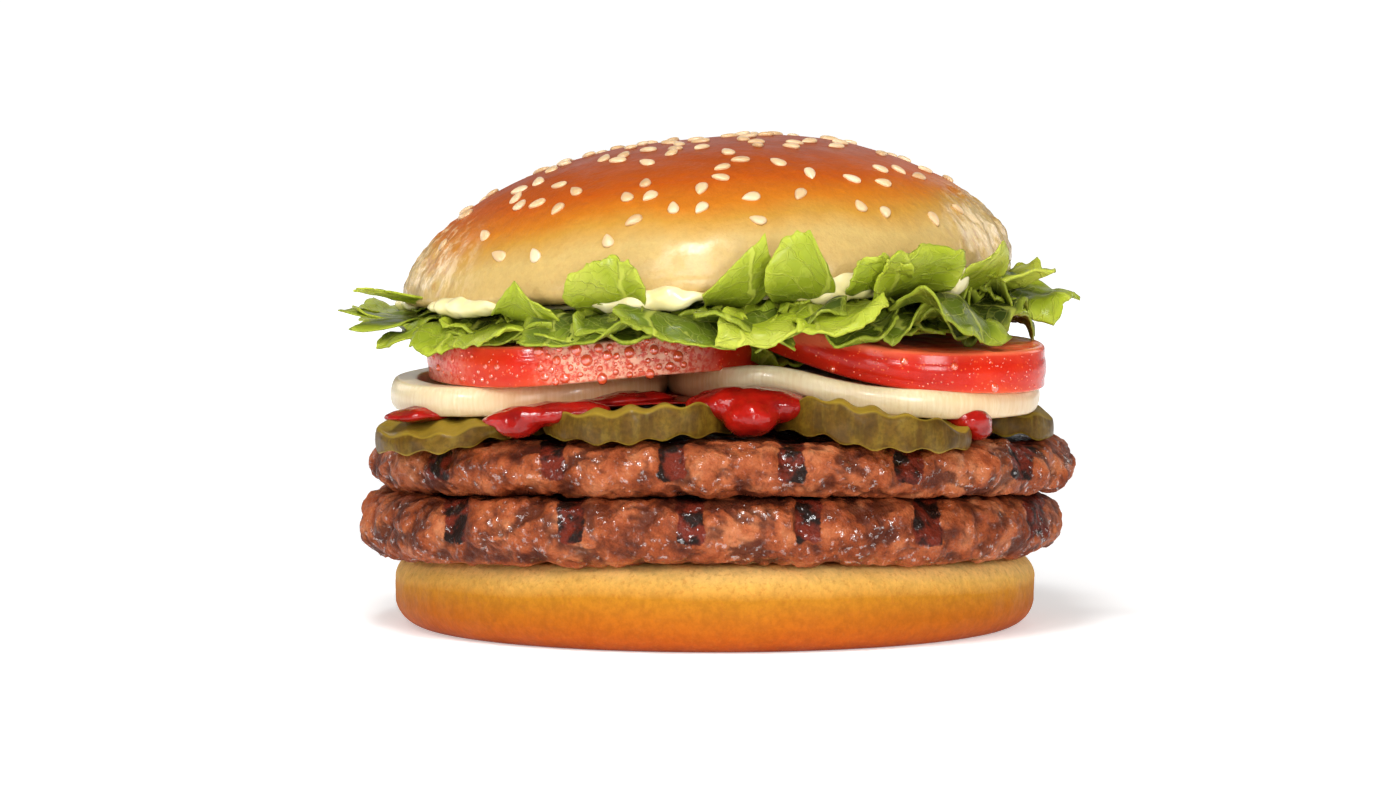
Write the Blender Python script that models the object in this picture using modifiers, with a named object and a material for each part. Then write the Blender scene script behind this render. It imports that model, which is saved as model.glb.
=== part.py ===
"""A double hamburger with sesame crown, lettuce, tomato, onion, pickle and two grilled patties.

Metres, +Z up. The origin is the centre of the heel's flat base, -Y is the front, +X is the right.
Every layer is first built flat, one above the other with small gaps between them, and settle()
then lets the whole stack sag at its sides and lean, which keeps the gaps.
"""

import math
import random

import bmesh
import bpy
from mathutils import Euler, Vector, noise

MM = 0.001
GAP = 0.3 * MM

HEEL_RADIUS = 57 * MM
HEEL_TOP = 15.3 * MM
PATTY_RADIUS = 62.2 * MM
PATTY_GRILL_PITCH = 20.4 * MM
PATTY_GRILL_WIDTH = 4.6 * MM
PICKLE_PITCH = 5.9 * MM
PICKLE_WAVE = 0.9 * MM
KETCHUP_RADIUS = 47 * MM
CORE_RADIUS = 45 * MM
LEAF_THICKNESS = 0.8 * MM
CROWN_RADIUS = 54 * MM
CROWN_CENTRE_X = -1.4 * MM
CROWN_BASE = 59.8 * MM
CROWN_WIDEST = 61.6 * MM
CROWN_TOP = 86.5 * MM
SEED_LENGTH = 3.1 * MM
SEED_WIDTH = 1.9 * MM
SEED_HEIGHT = 1.0 * MM
SEED_COUNT = 80

SIDE_SAG = 3.0 * MM
SAG_REACH = 60 * MM
FRONT_SAG = 1.3 * MM
DRAPE = 1.6 * MM
CURL = 1.3 * MM
LEAN_RIGHT = 0.068
LEAN_FRONT = 0.030

# Layer heights before the stack settles: (underside, top).
PATTY_LOWER = (15.6 * MM, 26.9 * MM)
PATTY_UPPER = (27.4 * MM, 36.4 * MM)
PICKLE = (36.9 * MM, 41.95 * MM)
KETCHUP = (42.32 * MM, 42.64 * MM)
ONION = (43.0 * MM, 46.7 * MM)
TOMATO = (47.0 * MM, 53.2 * MM)
LETTUCE_CORE = (56.9 * MM, 58.4 * MM)
MAYO = (58.75 * MM, 59.5 * MM)

# Round slices: (x, y, radius, extra height) in millimetres, then the tip to the right and the
# nod to the front, both in degrees.
PICKLES = (
    (-43.4, -28.0, 16.0, 0.2, 0.0, 1.3),
    (-13.2, -42.7, 16.5, 0.1, 0.0, 0.0),
    (27.0, -41.0, 17.2, 0.45, 0.6, 0.3),
    (44.8, -9.5, 15.2, 0.0, 0.0, 0.0),
    (33.0, 28.5, 16.8, 0.0, 0.0, 0.0),
    (-2.0, 42.0, 16.4, 0.0, 0.0, 0.0),
    (-36.0, 24.5, 17.0, 0.0, 0.0, 0.0),
)
ONIONS = (
    (-32.5, -18.0, 24.5, 0.2, 0.6, 1.0),
    (24.2, -17.0, 32.8, 0.2, 0.4, 0.3),
    (-15.0, 34.0, 24.5, 0.0, 0.0, 0.0),
    (32.5, 36.0, 17.0, 0.0, 0.0, 0.0),
)
ONION_WALL = 5.5 * MM
ONION_SUNK = 2.0 * MM
ONION_ARCH = 1.8 * MM
TOMATO_RISE = 3.2 * MM
TOMATOES = (
    (-20.5, -19.5, 30.0, 0.85, -0.5, 0.6),
    (31.4, -20.5, 26.5, 0.2, 0.5, 0.3),
    (-24.5, 34.5, 23.0, 0.0, 0.0, 0.0),
    (26.0, 35.5, 24.5, 1.0, 2.0, 0.0),
)

# Leaf pieces: (bearing in degrees from the front, midrib as three (reach, height) points,
# width, twist in degrees, ruffle height), in millimetres. Positive bearings are to the right.
LEAVES_SEEN = (
    (-78, (43.5, 57.6), (56, 56.5), (68, 58.5), 20, -22, 1.2),
    (-71, (43.5, 57.6), (55, 62.5), (67, 64.0), 5, 10, 0.3),
    (-70, (43.5, 57.6), (58, 56), (64, 51.5), 15, 10, 1.2),
    (-57, (43.5, 57.6), (59, 57.5), (61, 50.0), 10, -12, 1.2),
    (-46, (43.5, 57.6), (59, 57.0), (60, 51.5), 20, 14, 1.4),
    (-36, (43.5, 57.6), (60, 54.5), (58.5, 64.0), 16, -10, 1.0),
    (-24, (43.5, 57.6), (60, 57.5), (60, 52.5), 21, 8, 1.4),
    (-20, (43.5, 57.6), (60, 57.0), (57.5, 68.0), 14, -6, 0.6),
    (-6, (43.5, 57.6), (60, 57.5), (61, 52.5), 21, -8, 1.4),
    (3, (43.5, 57.6), (60, 58.0), (57.5, 69.0), 14, 12, 0.6),
    (8, (43.5, 57.6), (60, 57.0), (60.5, 51.5), 14, 6, 1.2),
    (16, (43.5, 57.6), (61, 57.5), (58, 69.5), 14, -10, 0.6),
    (21, (43.5, 57.6), (60, 58.5), (62, 54.0), 16, 10, 1.2),
    (29, (43.5, 57.6), (61, 58.5), (59, 65.5), 11, -8, 0.8),
    (37, (43.5, 57.6), (61, 58.0), (59.5, 66.0), 16, 10, 1.0),
    (43, (43.5, 57.6), (60, 58.0), (63.5, 54.5), 22, -8, 1.4),
    (57, (43.5, 57.6), (61, 58.5), (59, 66.0), 13, 10, 0.8),
    (71, (43.5, 57.6), (56, 58.5), (62, 60.5), 17, -16, 1.2),
    (79, (43.5, 57.6), (56, 57.5), (65, 55.5), 15, 8, 1.2),
)
LEAVES_BEHIND = 12
BEHIND_FROM, BEHIND_TO = 92, 272


def clear_scene():
    for obj in list(bpy.data.objects):
        bpy.data.objects.remove(obj)


def finish(name, colour, roughness):
    """A plain food surface: colour and roughness only."""
    material = bpy.data.materials.new(name)
    material.use_nodes = True
    shader = material.node_tree.nodes["Principled BSDF"]
    shader.inputs["Base Color"].default_value = (*colour, 1)
    shader.inputs["Roughness"].default_value = roughness
    shader.inputs["Metallic"].default_value = 0
    return material


def add_object(name, mesh, collection, material=None):
    obj = bpy.data.objects.new(name, mesh)
    collection.objects.link(obj)
    if material:
        mesh.materials.append(material)
    return obj


def add_collection(name, helper=False):
    collection = bpy.data.collections.new(name)
    collection.hide_render = helper
    bpy.context.scene.collection.children.link(collection)
    return collection


def freeze(obj):
    """Applies the object's modifiers to its mesh."""
    bpy.context.view_layer.update()
    graph = bpy.context.evaluated_depsgraph_get()
    mesh = bpy.data.meshes.new_from_object(obj.evaluated_get(graph))
    obj.modifiers.clear()
    obj.data = mesh
    return obj


def reshape(obj, move):
    """Moves each point of the mesh by a rule that takes and gives a local point."""
    for vertex in obj.data.vertices:
        vertex.co = move(vertex.co)
    obj.data.update()


def ramp(value, low, high):
    share = min(1.0, max(0.0, (value - low) / (high - low)))
    return share * share * (3 - 2 * share)


def settle(point):
    """The soft stack at rest: its middle layers sag at the sides and its crown leans."""
    x, y, z = point
    held = ramp(z, 2 * MM, 14 * MM) * (1 - ramp(z, 46 * MM, 60 * MM))
    leaning = ramp(z, 50 * MM, 62 * MM)
    sag = SIDE_SAG * (x / SAG_REACH) ** 2 * held
    slipping = ramp(z, 37 * MM, 42 * MM) * (1 - ramp(z, 50 * MM, 60 * MM))
    sag += FRONT_SAG * ramp(-y, 10 * MM, 50 * MM) * ramp(abs(x), 5 * MM, 40 * MM) * slipping
    lean = (LEAN_RIGHT * x - LEAN_FRONT * y) * leaning
    return Vector((x, y, z - sag + lean))


def place_slice(obj, row, layer):
    """Puts a slice that is modelled about its own centre where its table row says."""
    x, y, _, lift, tip, nod = row
    obj.location = (x * MM, y * MM, (layer[0] + layer[1]) / 2 + lift * MM)
    obj.rotation_euler = (math.radians(nod), math.radians(tip), 0)


def settle_object(obj):
    bpy.context.view_layer.update()
    there = obj.matrix_world.copy()
    back = there.inverted()
    reshape(obj, lambda point: back @ settle(there @ point))


def arc(centre_r, centre_z, radius_r, radius_z, start, end, steps):
    """Points of an elliptic arc in the (r, z) plane. 90 degrees is up and 0 is outward."""
    points = []
    for step in range(steps + 1):
        angle = math.radians(start + (end - start) * step / steps)
        r = centre_r + radius_r * math.cos(angle)
        points.append((r, centre_z + radius_z * math.sin(angle)))
    return points


def turned(name, profile, steps, collection, material=None):
    """A solid turned about Z from an (r, z) profile that runs from its top to its underside."""
    mesh = bpy.data.meshes.new(name)
    edges = [(i, i + 1) for i in range(len(profile) - 1)]
    mesh.from_pydata([(r, 0, z) for r, z in profile], edges, [])
    obj = add_object(name, mesh, collection, material)
    screw = obj.modifiers.new("Turn", "SCREW")
    screw.steps = steps
    screw.render_steps = steps
    screw.use_merge_vertices = True
    screw.merge_threshold = 0.00001
    return freeze(obj)


def disc_profile(radius, low, high, edge, rings, steps=3):
    """A disc with rounded rims. rings are the shares of the flat where a loop of points goes."""
    flat = radius - edge
    half = (high - low) / 2
    middle = (high + low) / 2
    top = [(flat * share, high) for share in (0, *rings)]
    under = [(flat * share, low) for share in (*reversed(rings), 0)]
    return top + arc(flat, middle, edge, half, 90, -90, 2 * steps) + under


def lumps(point, size, seed):
    return noise.noise(Vector(point) / size + Vector((seed, 2.7 * seed, -1.3 * seed)))


def build_heel(collection, material):
    """The bottom half of the bun, soft at its cut rim and rounder at its baked base."""
    top_edge, base_edge = 4.6 * MM, 5.2 * MM
    profile = [(share * (HEEL_RADIUS - top_edge), HEEL_TOP) for share in (0, 0.6)]
    profile += arc(HEEL_RADIUS - top_edge, HEEL_TOP - top_edge, top_edge, top_edge, 90, 0, 3)
    profile += arc(HEEL_RADIUS - base_edge, base_edge, base_edge, base_edge, -10, -90, 3)
    profile += [(0, 0)]
    heel = turned("heel", profile, 36, collection, material)

    def soften(point):
        rim = ramp(math.hypot(point.x, point.y), 0.7 * HEEL_RADIUS, HEEL_RADIUS)
        raised = ramp(point.z, 0.5 * MM, 6 * MM)
        swell = 1 + 0.010 * rim * raised * lumps(point, 24 * MM, 3)
        return Vector((point.x * swell, point.y * swell, point.z))

    reshape(heel, soften)
    settle_object(heel)
    return heel


def grill_mark(x, offset):
    """1 in the middle of a bar burnt by the grill, falling to 0 at its edges."""
    across = (x - offset + PATTY_GRILL_PITCH / 2) % PATTY_GRILL_PITCH - PATTY_GRILL_PITCH / 2
    return 1 - ramp(abs(across), 0.3 * PATTY_GRILL_WIDTH, 0.75 * PATTY_GRILL_WIDTH)


def build_patty(name, layer, centre_x, grill_offset, seed, collection, material):
    """A ground beef patty: a thick disc, craggy all over, with grill bars sunk in its top."""
    low, high = layer
    half = (high - low) / 2
    profile = disc_profile(PATTY_RADIUS, -half, half, 5.5 * MM, (0.45, 0.85), 2)
    patty = turned(name, profile, 44, collection, material)
    patty.location = (centre_x, 0, (high + low) / 2)

    def crag(point):
        radius = math.hypot(point.x, point.y)
        rim = ramp(radius, 0.84 * PATTY_RADIUS, PATTY_RADIUS)
        bearing = Vector((point.x, point.y, 0)).normalized() if radius > 0 else Vector()
        bulge = 1.0 * MM * lumps(bearing * 3.2, 1, seed) + 1.5 * MM * lumps(point, 6 * MM, seed)
        bar = grill_mark(point.x + centre_x, grill_offset) * ramp(point.z, -1 * MM, 2 * MM)
        inward = rim * (bulge - 0.9 * MM * bar)
        dip = (0.35 * MM * abs(lumps(point, 8 * MM, seed + 5)) + 0.5 * MM * bar) * (1 - rim / 2)
        moved = point + bearing * inward
        moved.z -= math.copysign(dip, point.z) * ramp(abs(point.z), 0, half)
        return moved

    reshape(patty, crag)
    settle_object(patty)
    return patty


def build_pickle(index, collection, material):
    """A crinkle-cut pickle chip: chords across a disc whose faces are cut in straight waves."""
    radius = PICKLES[index][2] * MM
    half = (PICKLE[1] - PICKLE[0]) / 2
    chords = round(radius * 4 / PICKLE_PITCH)
    bm = bmesh.new()
    loops = []
    for i in range(chords + 1):
        along = radius * 0.975 * (2 * i / chords - 1)
        chord = math.sqrt(radius**2 - along**2)
        face = half - PICKLE_WAVE * ((i + index) % 2)
        sides = (-chord, -0.6 * chord, chord)
        corners = [(side, -face) for side in sides] + [(side, face) for side in reversed(sides)]
        loops.append([bm.verts.new((along, side, height)) for side, height in corners])
    for near, far in zip(loops, loops[1:]):
        for k in range(6):
            bm.faces.new((near[k], far[k], far[k - 1], near[k - 1]))
    bm.faces.new(loops[0])
    bm.faces.new(reversed(loops[-1]))
    bmesh.ops.recalc_face_normals(bm, faces=bm.faces)
    mesh = bpy.data.meshes.new(f"pickle_{index + 1}")
    bm.to_mesh(mesh)
    bm.free()
    pickle = add_object(mesh.name, mesh, collection, material)
    place_slice(pickle, PICKLES[index], PICKLE)
    settle_object(pickle)
    drape(pickle)
    return pickle


def drape(obj):
    """Lets a slice hang down over the patty's rim, and its front edge curl up a little."""
    bpy.context.view_layer.update()
    there = obj.matrix_world.copy()
    back = there.inverted()

    def hang(point):
        world = there @ point
        reach = math.hypot(world.x, world.y)
        world.z -= DRAPE * ramp(reach, PATTY_RADIUS - 5 * MM, PATTY_RADIUS + 2 * MM)
        if point.z > 0:
            world.z += CURL * ramp(-world.y, 46 * MM, 56 * MM)
        return back @ world

    reshape(obj, hang)


def build_onion(index, collection, material):
    """An onion slice: nested rings as one solid. In the first, the outer ring stands proud."""
    radius = ONIONS[index][2] * MM
    half = (ONION[1] - ONION[0]) / 2
    groove = 0.7 * MM
    if index == 0:
        inner, sunk = radius - ONION_WALL, half - ONION_SUNK
        profile = [(0, sunk), (inner, sunk), (inner + 0.6 * MM, half)]
    else:
        profile = [(0, half - groove)]
        for share in (0.52, 0.8):
            profile += [(radius * (share - 0.1), half), (radius * share, half - groove)]
    profile += arc(radius - 1.6 * MM, 0, 1.6 * MM, half, 90, -90, 3)
    profile += [(0.55 * radius, -half), (0, -half)]
    steps = 10 + round(0.4 * radius / MM)
    onion = turned(f"onion_{index + 1}", profile, steps, collection, material)
    place_slice(onion, ONIONS[index], ONION)

    def waver(point):
        rim = ramp(math.hypot(point.x, point.y), 0.5 * radius, radius)
        swell = 1 + 0.018 * rim * lumps(point, 14 * MM, index + 11)
        arch = 0
        if index == 1:
            off = math.degrees(math.atan2(-point.x, -point.y)) - 28
            arch = ONION_ARCH * ramp(rim, 0.5, 1) * (1 - ramp(abs(off), 0, 34))
        return Vector((point.x * swell, point.y * swell, point.z + arch))

    reshape(onion, waver)
    settle_object(onion)
    return onion


def build_tomato(index, collection, material):
    """A tomato slice: a disc with a slightly crowned skin, not quite round."""
    radius = TOMATOES[index][2] * MM
    thickness = (TOMATO[1] - TOMATO[0]) * (1.0, 0.88, 0.85, 0.85)[index]
    profile = disc_profile(radius, -thickness / 2, thickness / 2, 1.3 * MM, (0.6,), 1)
    tomato = turned(f"tomato_{index + 1}", profile, 26, collection, material)
    place_slice(tomato, TOMATOES[index], (TOMATO[0], TOMATO[0] + thickness))

    def lobe(point):
        bearing = math.atan2(point.y, point.x)
        swell = 1 + 0.012 * math.sin(3 * bearing + 1.7 * index) - 0.006 * math.cos(5 * bearing)
        x = point.x * swell
        rise = TOMATO_RISE * (max(0, 5 * MM - x) / radius) ** 2 if index == 1 else 0
        return Vector((x, point.y * swell, point.z + rise))

    reshape(tomato, lobe)
    settle_object(tomato)
    return tomato


def blob(name, centre, radii, collection, segments=8, rings=5):
    """A round lump of sauce."""
    bm = bmesh.new()
    bmesh.ops.create_uvsphere(bm, u_segments=segments, v_segments=rings, radius=1)
    mesh = bpy.data.meshes.new(name)
    bm.to_mesh(mesh)
    bm.free()
    obj = add_object(name, mesh, collection)
    reshape(obj, lambda p: Vector([c * r * MM for c, r in zip(p, radii)]))
    obj.location = [c * MM for c in centre]
    return obj


def combine(obj, others, operation, solver="EXACT"):
    """Joins a collection to the object, or cuts it away, then removes the collection's objects."""
    boolean = obj.modifiers.new("Combine", "BOOLEAN")
    boolean.operation = operation
    boolean.operand_type = "COLLECTION"
    boolean.collection = others
    boolean.solver = solver
    freeze(obj)
    for other in list(others.objects):
        bpy.data.objects.remove(other)
    keep_largest(obj)


def keep_largest(obj):
    """Drops the loose scraps that a cut can leave."""
    bm = bmesh.new()
    bm.from_mesh(obj.data)
    unseen = set(bm.verts)
    bodies = []
    while unseen:
        body = [unseen.pop()]
        for vertex in body:
            for edge in vertex.link_edges:
                other = edge.other_vert(vertex)
                if other in unseen:
                    unseen.remove(other)
                    body.append(other)
        bodies.append(body)
    bodies.sort(key=len)
    scraps = [vertex for body in bodies[:-1] for vertex in body]
    bmesh.ops.delete(bm, geom=scraps, context="VERTS")
    bm.to_mesh(obj.data)
    bm.free()


def add_cutters(pieces, cutters, clearance):
    """Adds a copy of each piece to the cutters, grown all round by the clearance."""
    for piece in pieces:
        copy = add_object(f"cut_{piece.name}", piece.data.copy(), cutters)
        copy.matrix_world = piece.matrix_world.copy()
        normals = [vertex.normal.copy() for vertex in copy.data.vertices]
        for vertex, normal in zip(copy.data.vertices, normals):
            vertex.co += normal * clearance
        copy.display_type = "WIRE"


def wavy_disc(name, radius, layer, wave, seed, steps, collection, material):
    low, high = layer
    profile = disc_profile(radius, low, high, 0.6 * MM, (), 1)
    disc = turned(name, profile, steps, collection, material)

    def waver(point):
        bearing = Vector((point.x, point.y, 0)) / radius
        swell = 1 + wave * noise.noise(bearing * 2.6 + Vector((seed, seed, seed)))
        return Vector((point.x * swell, point.y * swell, point.z))

    reshape(disc, waver)
    settle_object(disc)
    return disc


def build_ketchup(neighbours, collection, material, joined, cutters):
    """A film over the pickles that swells and runs down in the gaps between them."""
    ketchup = wavy_disc("ketchup", KETCHUP_RADIUS, KETCHUP, 0.10, 4.2, 16, collection, material)
    runs = (
        ((-51.5, -32.0, 42.5), (6.5, 5.5, 1.4)),
        ((-29.2, -47.5, 42.2), (11.5, 5.0, 2.2)),
        ((-33.9, -48.5, 40.9), (4.0, 3.6, 3.2)),
        ((6.0, -48.5, 42.4), (11.5, 6.6, 3.2)),
        ((6.1, -52.5, 40.7), (4.9, 4.6, 3.5)),
        ((43.5, -39.0, 41.8), (4.2, 5.0, 2.8)),
        ((45.2, -38.5, 40.4), (2.6, 4.0, 3.2)),
        ((17.0, 46.0, 40.9), (6.5, 7.0, 3.2)),
        ((-21.5, 42.5, 40.9), (7.0, 6.5, 3.2)),
    )
    for index, (centre, radii) in enumerate(runs):
        settle_object(blob(f"run_{index}", centre, radii, joined))
    combine(ketchup, joined, "UNION", "MANIFOLD")
    add_cutters(neighbours, cutters, GAP)
    combine(ketchup, cutters, "DIFFERENCE", "MANIFOLD")
    return ketchup


def build_mayo(crown, collection, material, joined, cutters):
    """The sauce under the crown, squeezed out over the lettuce in a few places."""
    mayo = wavy_disc("mayo", 49.5 * MM, MAYO, 0.05, 8.4, 24, collection, material)
    squeezed = (
        (-54, 52.8, (8.5, 3.6, 1.9)),
        (-12, 53.2, (8.5, 3.2, 2.1)),
        (26, 53.2, (7.0, 3.4, 2.1)),
        (52, 53.0, (3.6, 2.6, 1.7)),
        (105, 53.0, (7.5, 3.4, 1.9)),
        (160, 53.4, (9.0, 3.4, 2.0)),
        (215, 53.0, (8.0, 3.4, 1.9)),
        (262, 52.8, (6.5, 3.4, 1.8)),
    )
    for index, (bearing, reach, radii) in enumerate(squeezed):
        angle = math.radians(bearing)
        centre = (reach * math.sin(angle) - 1.4, -reach * math.cos(angle), 60.1)
        lobe = blob(f"lobe_{index}", centre, radii, joined)
        lobe.rotation_euler.z = angle
        settle_object(lobe)
    combine(mayo, joined, "UNION")
    add_cutters([crown], cutters, GAP)
    combine(mayo, cutters, "DIFFERENCE", "MANIFOLD")
    return mayo


def crown_profile():
    """A low dome as a superellipse over a rounded rim and a flat cut base."""
    rise = CROWN_TOP - CROWN_WIDEST
    profile = []
    for degrees in (0, 16, 32, 47, 60, 72, 82, 90):
        angle = math.radians(degrees)
        reach = CROWN_RADIUS * math.sin(angle) ** (2 / 2.33)
        profile.append((reach, CROWN_WIDEST + rise * max(0.0, math.cos(angle)) ** (2 / 1.7)))
    edge = CROWN_WIDEST - CROWN_BASE
    profile += arc(CROWN_RADIUS - 1.6 * edge, CROWN_WIDEST, 1.6 * edge, edge, -30, -90, 2)
    return profile + [(0, CROWN_BASE)]


def build_crown(collection, material):
    """The top half of the bun without its seeds, a little uneven all over."""
    crown = turned("crown", crown_profile(), 40, collection, material)
    crown.location.x = CROWN_CENTRE_X

    def dent(point):
        raised = ramp(point.z, CROWN_BASE, CROWN_BASE + 4 * MM)
        swell = 1 + 0.016 * raised * lumps(point, 26 * MM, 6)
        lift = 0.5 * MM * raised * lumps(point, 19 * MM, 9)
        return Vector((point.x * swell, point.y * swell, point.z + lift))

    reshape(crown, dent)
    settle_object(crown)
    return crown


def seed_spots():
    """Where the seeds lie: (bearing, share of the way from the crown's top to its rim, turn)."""
    draw = random.Random(27)
    spots = []
    while len(spots) < SEED_COUNT:
        bearing = draw.uniform(0, math.tau)
        share = math.sqrt(draw.uniform(0.001, 0.93))
        turn = draw.uniform(0, math.pi)
        if draw.random() > 1 - 0.72 * ramp(share, 0.45, 0.95):
            continue
        reach = share * CROWN_RADIUS
        here = Vector((reach * math.cos(bearing), reach * math.sin(bearing)))
        if all((here - other).length > 1.2 * SEED_LENGTH for other, *_ in spots):
            spots.append((here, bearing, turn))
    return spots


def add_seeds(crown, seeds):
    """Sesame seeds half sunk in the crust, found by dropping each onto the crown."""
    for index, (spot, _, turn) in enumerate(seed_spots()):
        above = Vector((spot.x, spot.y, 2 * CROWN_TOP))
        hit, place, normal, _ = crown.ray_cast(above, Vector((0, 0, -1)))
        if not hit:
            continue
        seed = blob(f"seed_{index}", (0, 0, 0), (1, 1, 1), seeds, 6, 3)
        scale = Vector((SEED_LENGTH, SEED_WIDTH, SEED_HEIGHT)) / 2 / MM
        reshape(seed, lambda p: Vector((p.x * scale.x, p.y * scale.y * (1 - 250 * p.x), p.z * scale.z)))
        upright = normal.to_track_quat("Z", "X")
        seed.rotation_mode = "QUATERNION"
        seed.rotation_quaternion = upright @ Euler((0, 0, turn)).to_quaternion()
        seed.location = crown.location + place + normal * 0.12 * SEED_HEIGHT
    combine(crown, seeds, "UNION", "MANIFOLD")


def leaf_point(leaf, along, across):
    """A point of a leaf piece: along is 0 in the heap and 1 at the tip, across is -1 to 1."""
    bearing, root, bend, tip, width, twist, ruffle = leaf
    back, both, ahead = (1 - along) ** 2, 2 * along * (1 - along), along**2
    reach = back * root[0] + both * bend[0] + ahead * tip[0]
    height = back * root[1] + both * bend[1] + ahead * tip[1]
    run = (1 - along) * (bend[0] - root[0]) + along * (tip[0] - bend[0])
    rise = (1 - along) * (bend[1] - root[1]) + along * (tip[1] - bend[1])
    slope = math.hypot(run, rise)
    over = Vector((-rise / slope, 0, run / slope))
    turn = math.radians(twist) * along
    side = Vector((0, math.cos(turn), 0)) + over * math.sin(turn)
    half = width / 2 * (0.45 + 0.65 * ramp(along, 0, 0.6)) * math.sqrt(max(0.04, 1 - along**5))
    lift = ruffle * math.sin(2.2 * across + 5.1 * along + bearing) * (0.25 + 0.75 * abs(across))
    local = Vector((reach, 0, height)) + side * half * across + over * lift * ramp(along, 0, 0.5)
    angle = math.radians(bearing)
    x = local.x * math.sin(angle) + local.y * math.cos(angle)
    y = -local.x * math.cos(angle) + local.y * math.sin(angle)
    return Vector((x, y, local.z)) * MM


def all_leaves():
    """The leaf pieces that show in front, then as many again drawn at random for the back."""
    draw = random.Random(11)
    leaves = list(LEAVES_SEEN)
    for index in range(LEAVES_BEHIND):
        step = (BEHIND_TO - BEHIND_FROM) / (LEAVES_BEHIND - 1)
        bearing = BEHIND_FROM + step * index + draw.uniform(-3, 3)
        width = draw.uniform(13, 22)
        kind = index % 3
        if kind == 0:
            bend, tip = (60.5, 57.5), (58.5, draw.uniform(64, 68))
        elif kind == 1:
            bend, tip = (58, 57.5), (draw.uniform(62, 66), draw.uniform(54.5, 57))
        else:
            bend, tip = (57, 56.5), (draw.uniform(62, 67), draw.uniform(58, 61))
        leaves.append((bearing, (43.5, 57.6), bend, tip, width, draw.uniform(-18, 18), 1.2))
    return leaves


def build_leaf(index, leaf, collection):
    """One thin wavy leaf piece as a closed sheet."""
    bm = bmesh.new()
    bmesh.ops.create_grid(bm, x_segments=3, y_segments=2, size=1)
    bmesh.ops.triangulate(bm, faces=bm.faces)
    for vertex in bm.verts:
        vertex.co = settle(leaf_point(leaf, (vertex.co.x + 1) / 2, vertex.co.y))
    mesh = bpy.data.meshes.new(f"leaf_{index}")
    bm.to_mesh(mesh)
    bm.free()
    obj = add_object(mesh.name, mesh, collection)
    sheet = obj.modifiers.new("Sheet", "SOLIDIFY")
    sheet.thickness = LEAF_THICKNESS
    sheet.offset = 0
    freeze(obj)


def build_lettuce(neighbours, collection, material, joined, cutters):
    """Chopped lettuce as one heap: a thin core with the pieces that show fused to it."""
    lettuce = wavy_disc("lettuce", CORE_RADIUS, LETTUCE_CORE, 0.03, 1.6, 20, collection, material)
    for index, leaf in enumerate(all_leaves()):
        build_leaf(index, leaf, joined)
    combine(lettuce, joined, "UNION", "MANIFOLD")
    add_cutters(neighbours, cutters, GAP)
    combine(lettuce, cutters, "DIFFERENCE", "MANIFOLD")
    return lettuce


def main():
    clear_scene()
    burger = add_collection("double hamburger")
    joined = add_collection("to join", helper=True)
    cutters = add_collection("cutters", helper=True)
    crust = finish("bun crust", (0.62, 0.27, 0.07), 0.45)
    beef = finish("grilled beef", (0.20, 0.075, 0.035), 0.4)
    brine = finish("pickle", (0.16, 0.17, 0.025), 0.3)
    tomato_skin = finish("tomato", (0.72, 0.05, 0.02), 0.2)
    onion_flesh = finish("onion", (0.85, 0.76, 0.55), 0.3)
    leaf_green = finish("lettuce", (0.25, 0.48, 0.05), 0.4)
    ketchup_red = finish("ketchup", (0.45, 0.01, 0.01), 0.15)
    mayo_cream = finish("mayo", (0.90, 0.84, 0.60), 0.25)

    build_heel(burger, crust)
    build_patty("patty_lower", PATTY_LOWER, -1.3 * MM, -4.4 * MM, 2, burger, beef)
    build_patty("patty_upper", PATTY_UPPER, 1.3 * MM, -7.5 * MM, 14, burger, beef)
    pickles = [build_pickle(i, burger, brine) for i in range(len(PICKLES))]
    onions = [build_onion(i, burger, onion_flesh) for i in range(len(ONIONS))]
    tomatoes = [build_tomato(i, burger, tomato_skin) for i in range(len(TOMATOES))]
    add_cutters([tomatoes[1]], cutters, GAP)
    combine(tomatoes[0], cutters, "DIFFERENCE", "MANIFOLD")
    build_ketchup([*pickles, *onions], burger, ketchup_red, joined, cutters)
    crown = build_crown(burger, crust)
    mayo = build_mayo(crown, burger, mayo_cream, joined, cutters)
    build_lettuce([crown, mayo, *tomatoes], burger, leaf_green, joined, cutters)
    add_seeds(crown, joined)
    for obj in burger.objects:
        obj.data.shade_smooth()
        obj.data.set_sharp_from_angle(angle=math.radians(40))


main()
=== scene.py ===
"""The looks of the double hamburger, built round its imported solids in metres."""

import math
import random

import bpy
import numpy as np
from mathutils import Euler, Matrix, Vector, noise
from mathutils.bvhtree import BVHTree


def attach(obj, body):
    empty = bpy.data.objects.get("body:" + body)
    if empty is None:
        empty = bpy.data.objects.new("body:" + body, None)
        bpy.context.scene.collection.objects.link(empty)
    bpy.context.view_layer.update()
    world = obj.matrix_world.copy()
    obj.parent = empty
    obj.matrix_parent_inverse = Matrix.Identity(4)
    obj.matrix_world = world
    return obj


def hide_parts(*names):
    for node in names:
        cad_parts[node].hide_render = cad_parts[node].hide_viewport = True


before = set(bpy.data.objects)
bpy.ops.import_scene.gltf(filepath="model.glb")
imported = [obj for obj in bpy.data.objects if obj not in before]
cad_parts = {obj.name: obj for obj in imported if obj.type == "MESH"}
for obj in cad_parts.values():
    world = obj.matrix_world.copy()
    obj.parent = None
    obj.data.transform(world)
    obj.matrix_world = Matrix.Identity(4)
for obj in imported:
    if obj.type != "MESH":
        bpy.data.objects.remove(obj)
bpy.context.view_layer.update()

MM = 0.001

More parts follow.
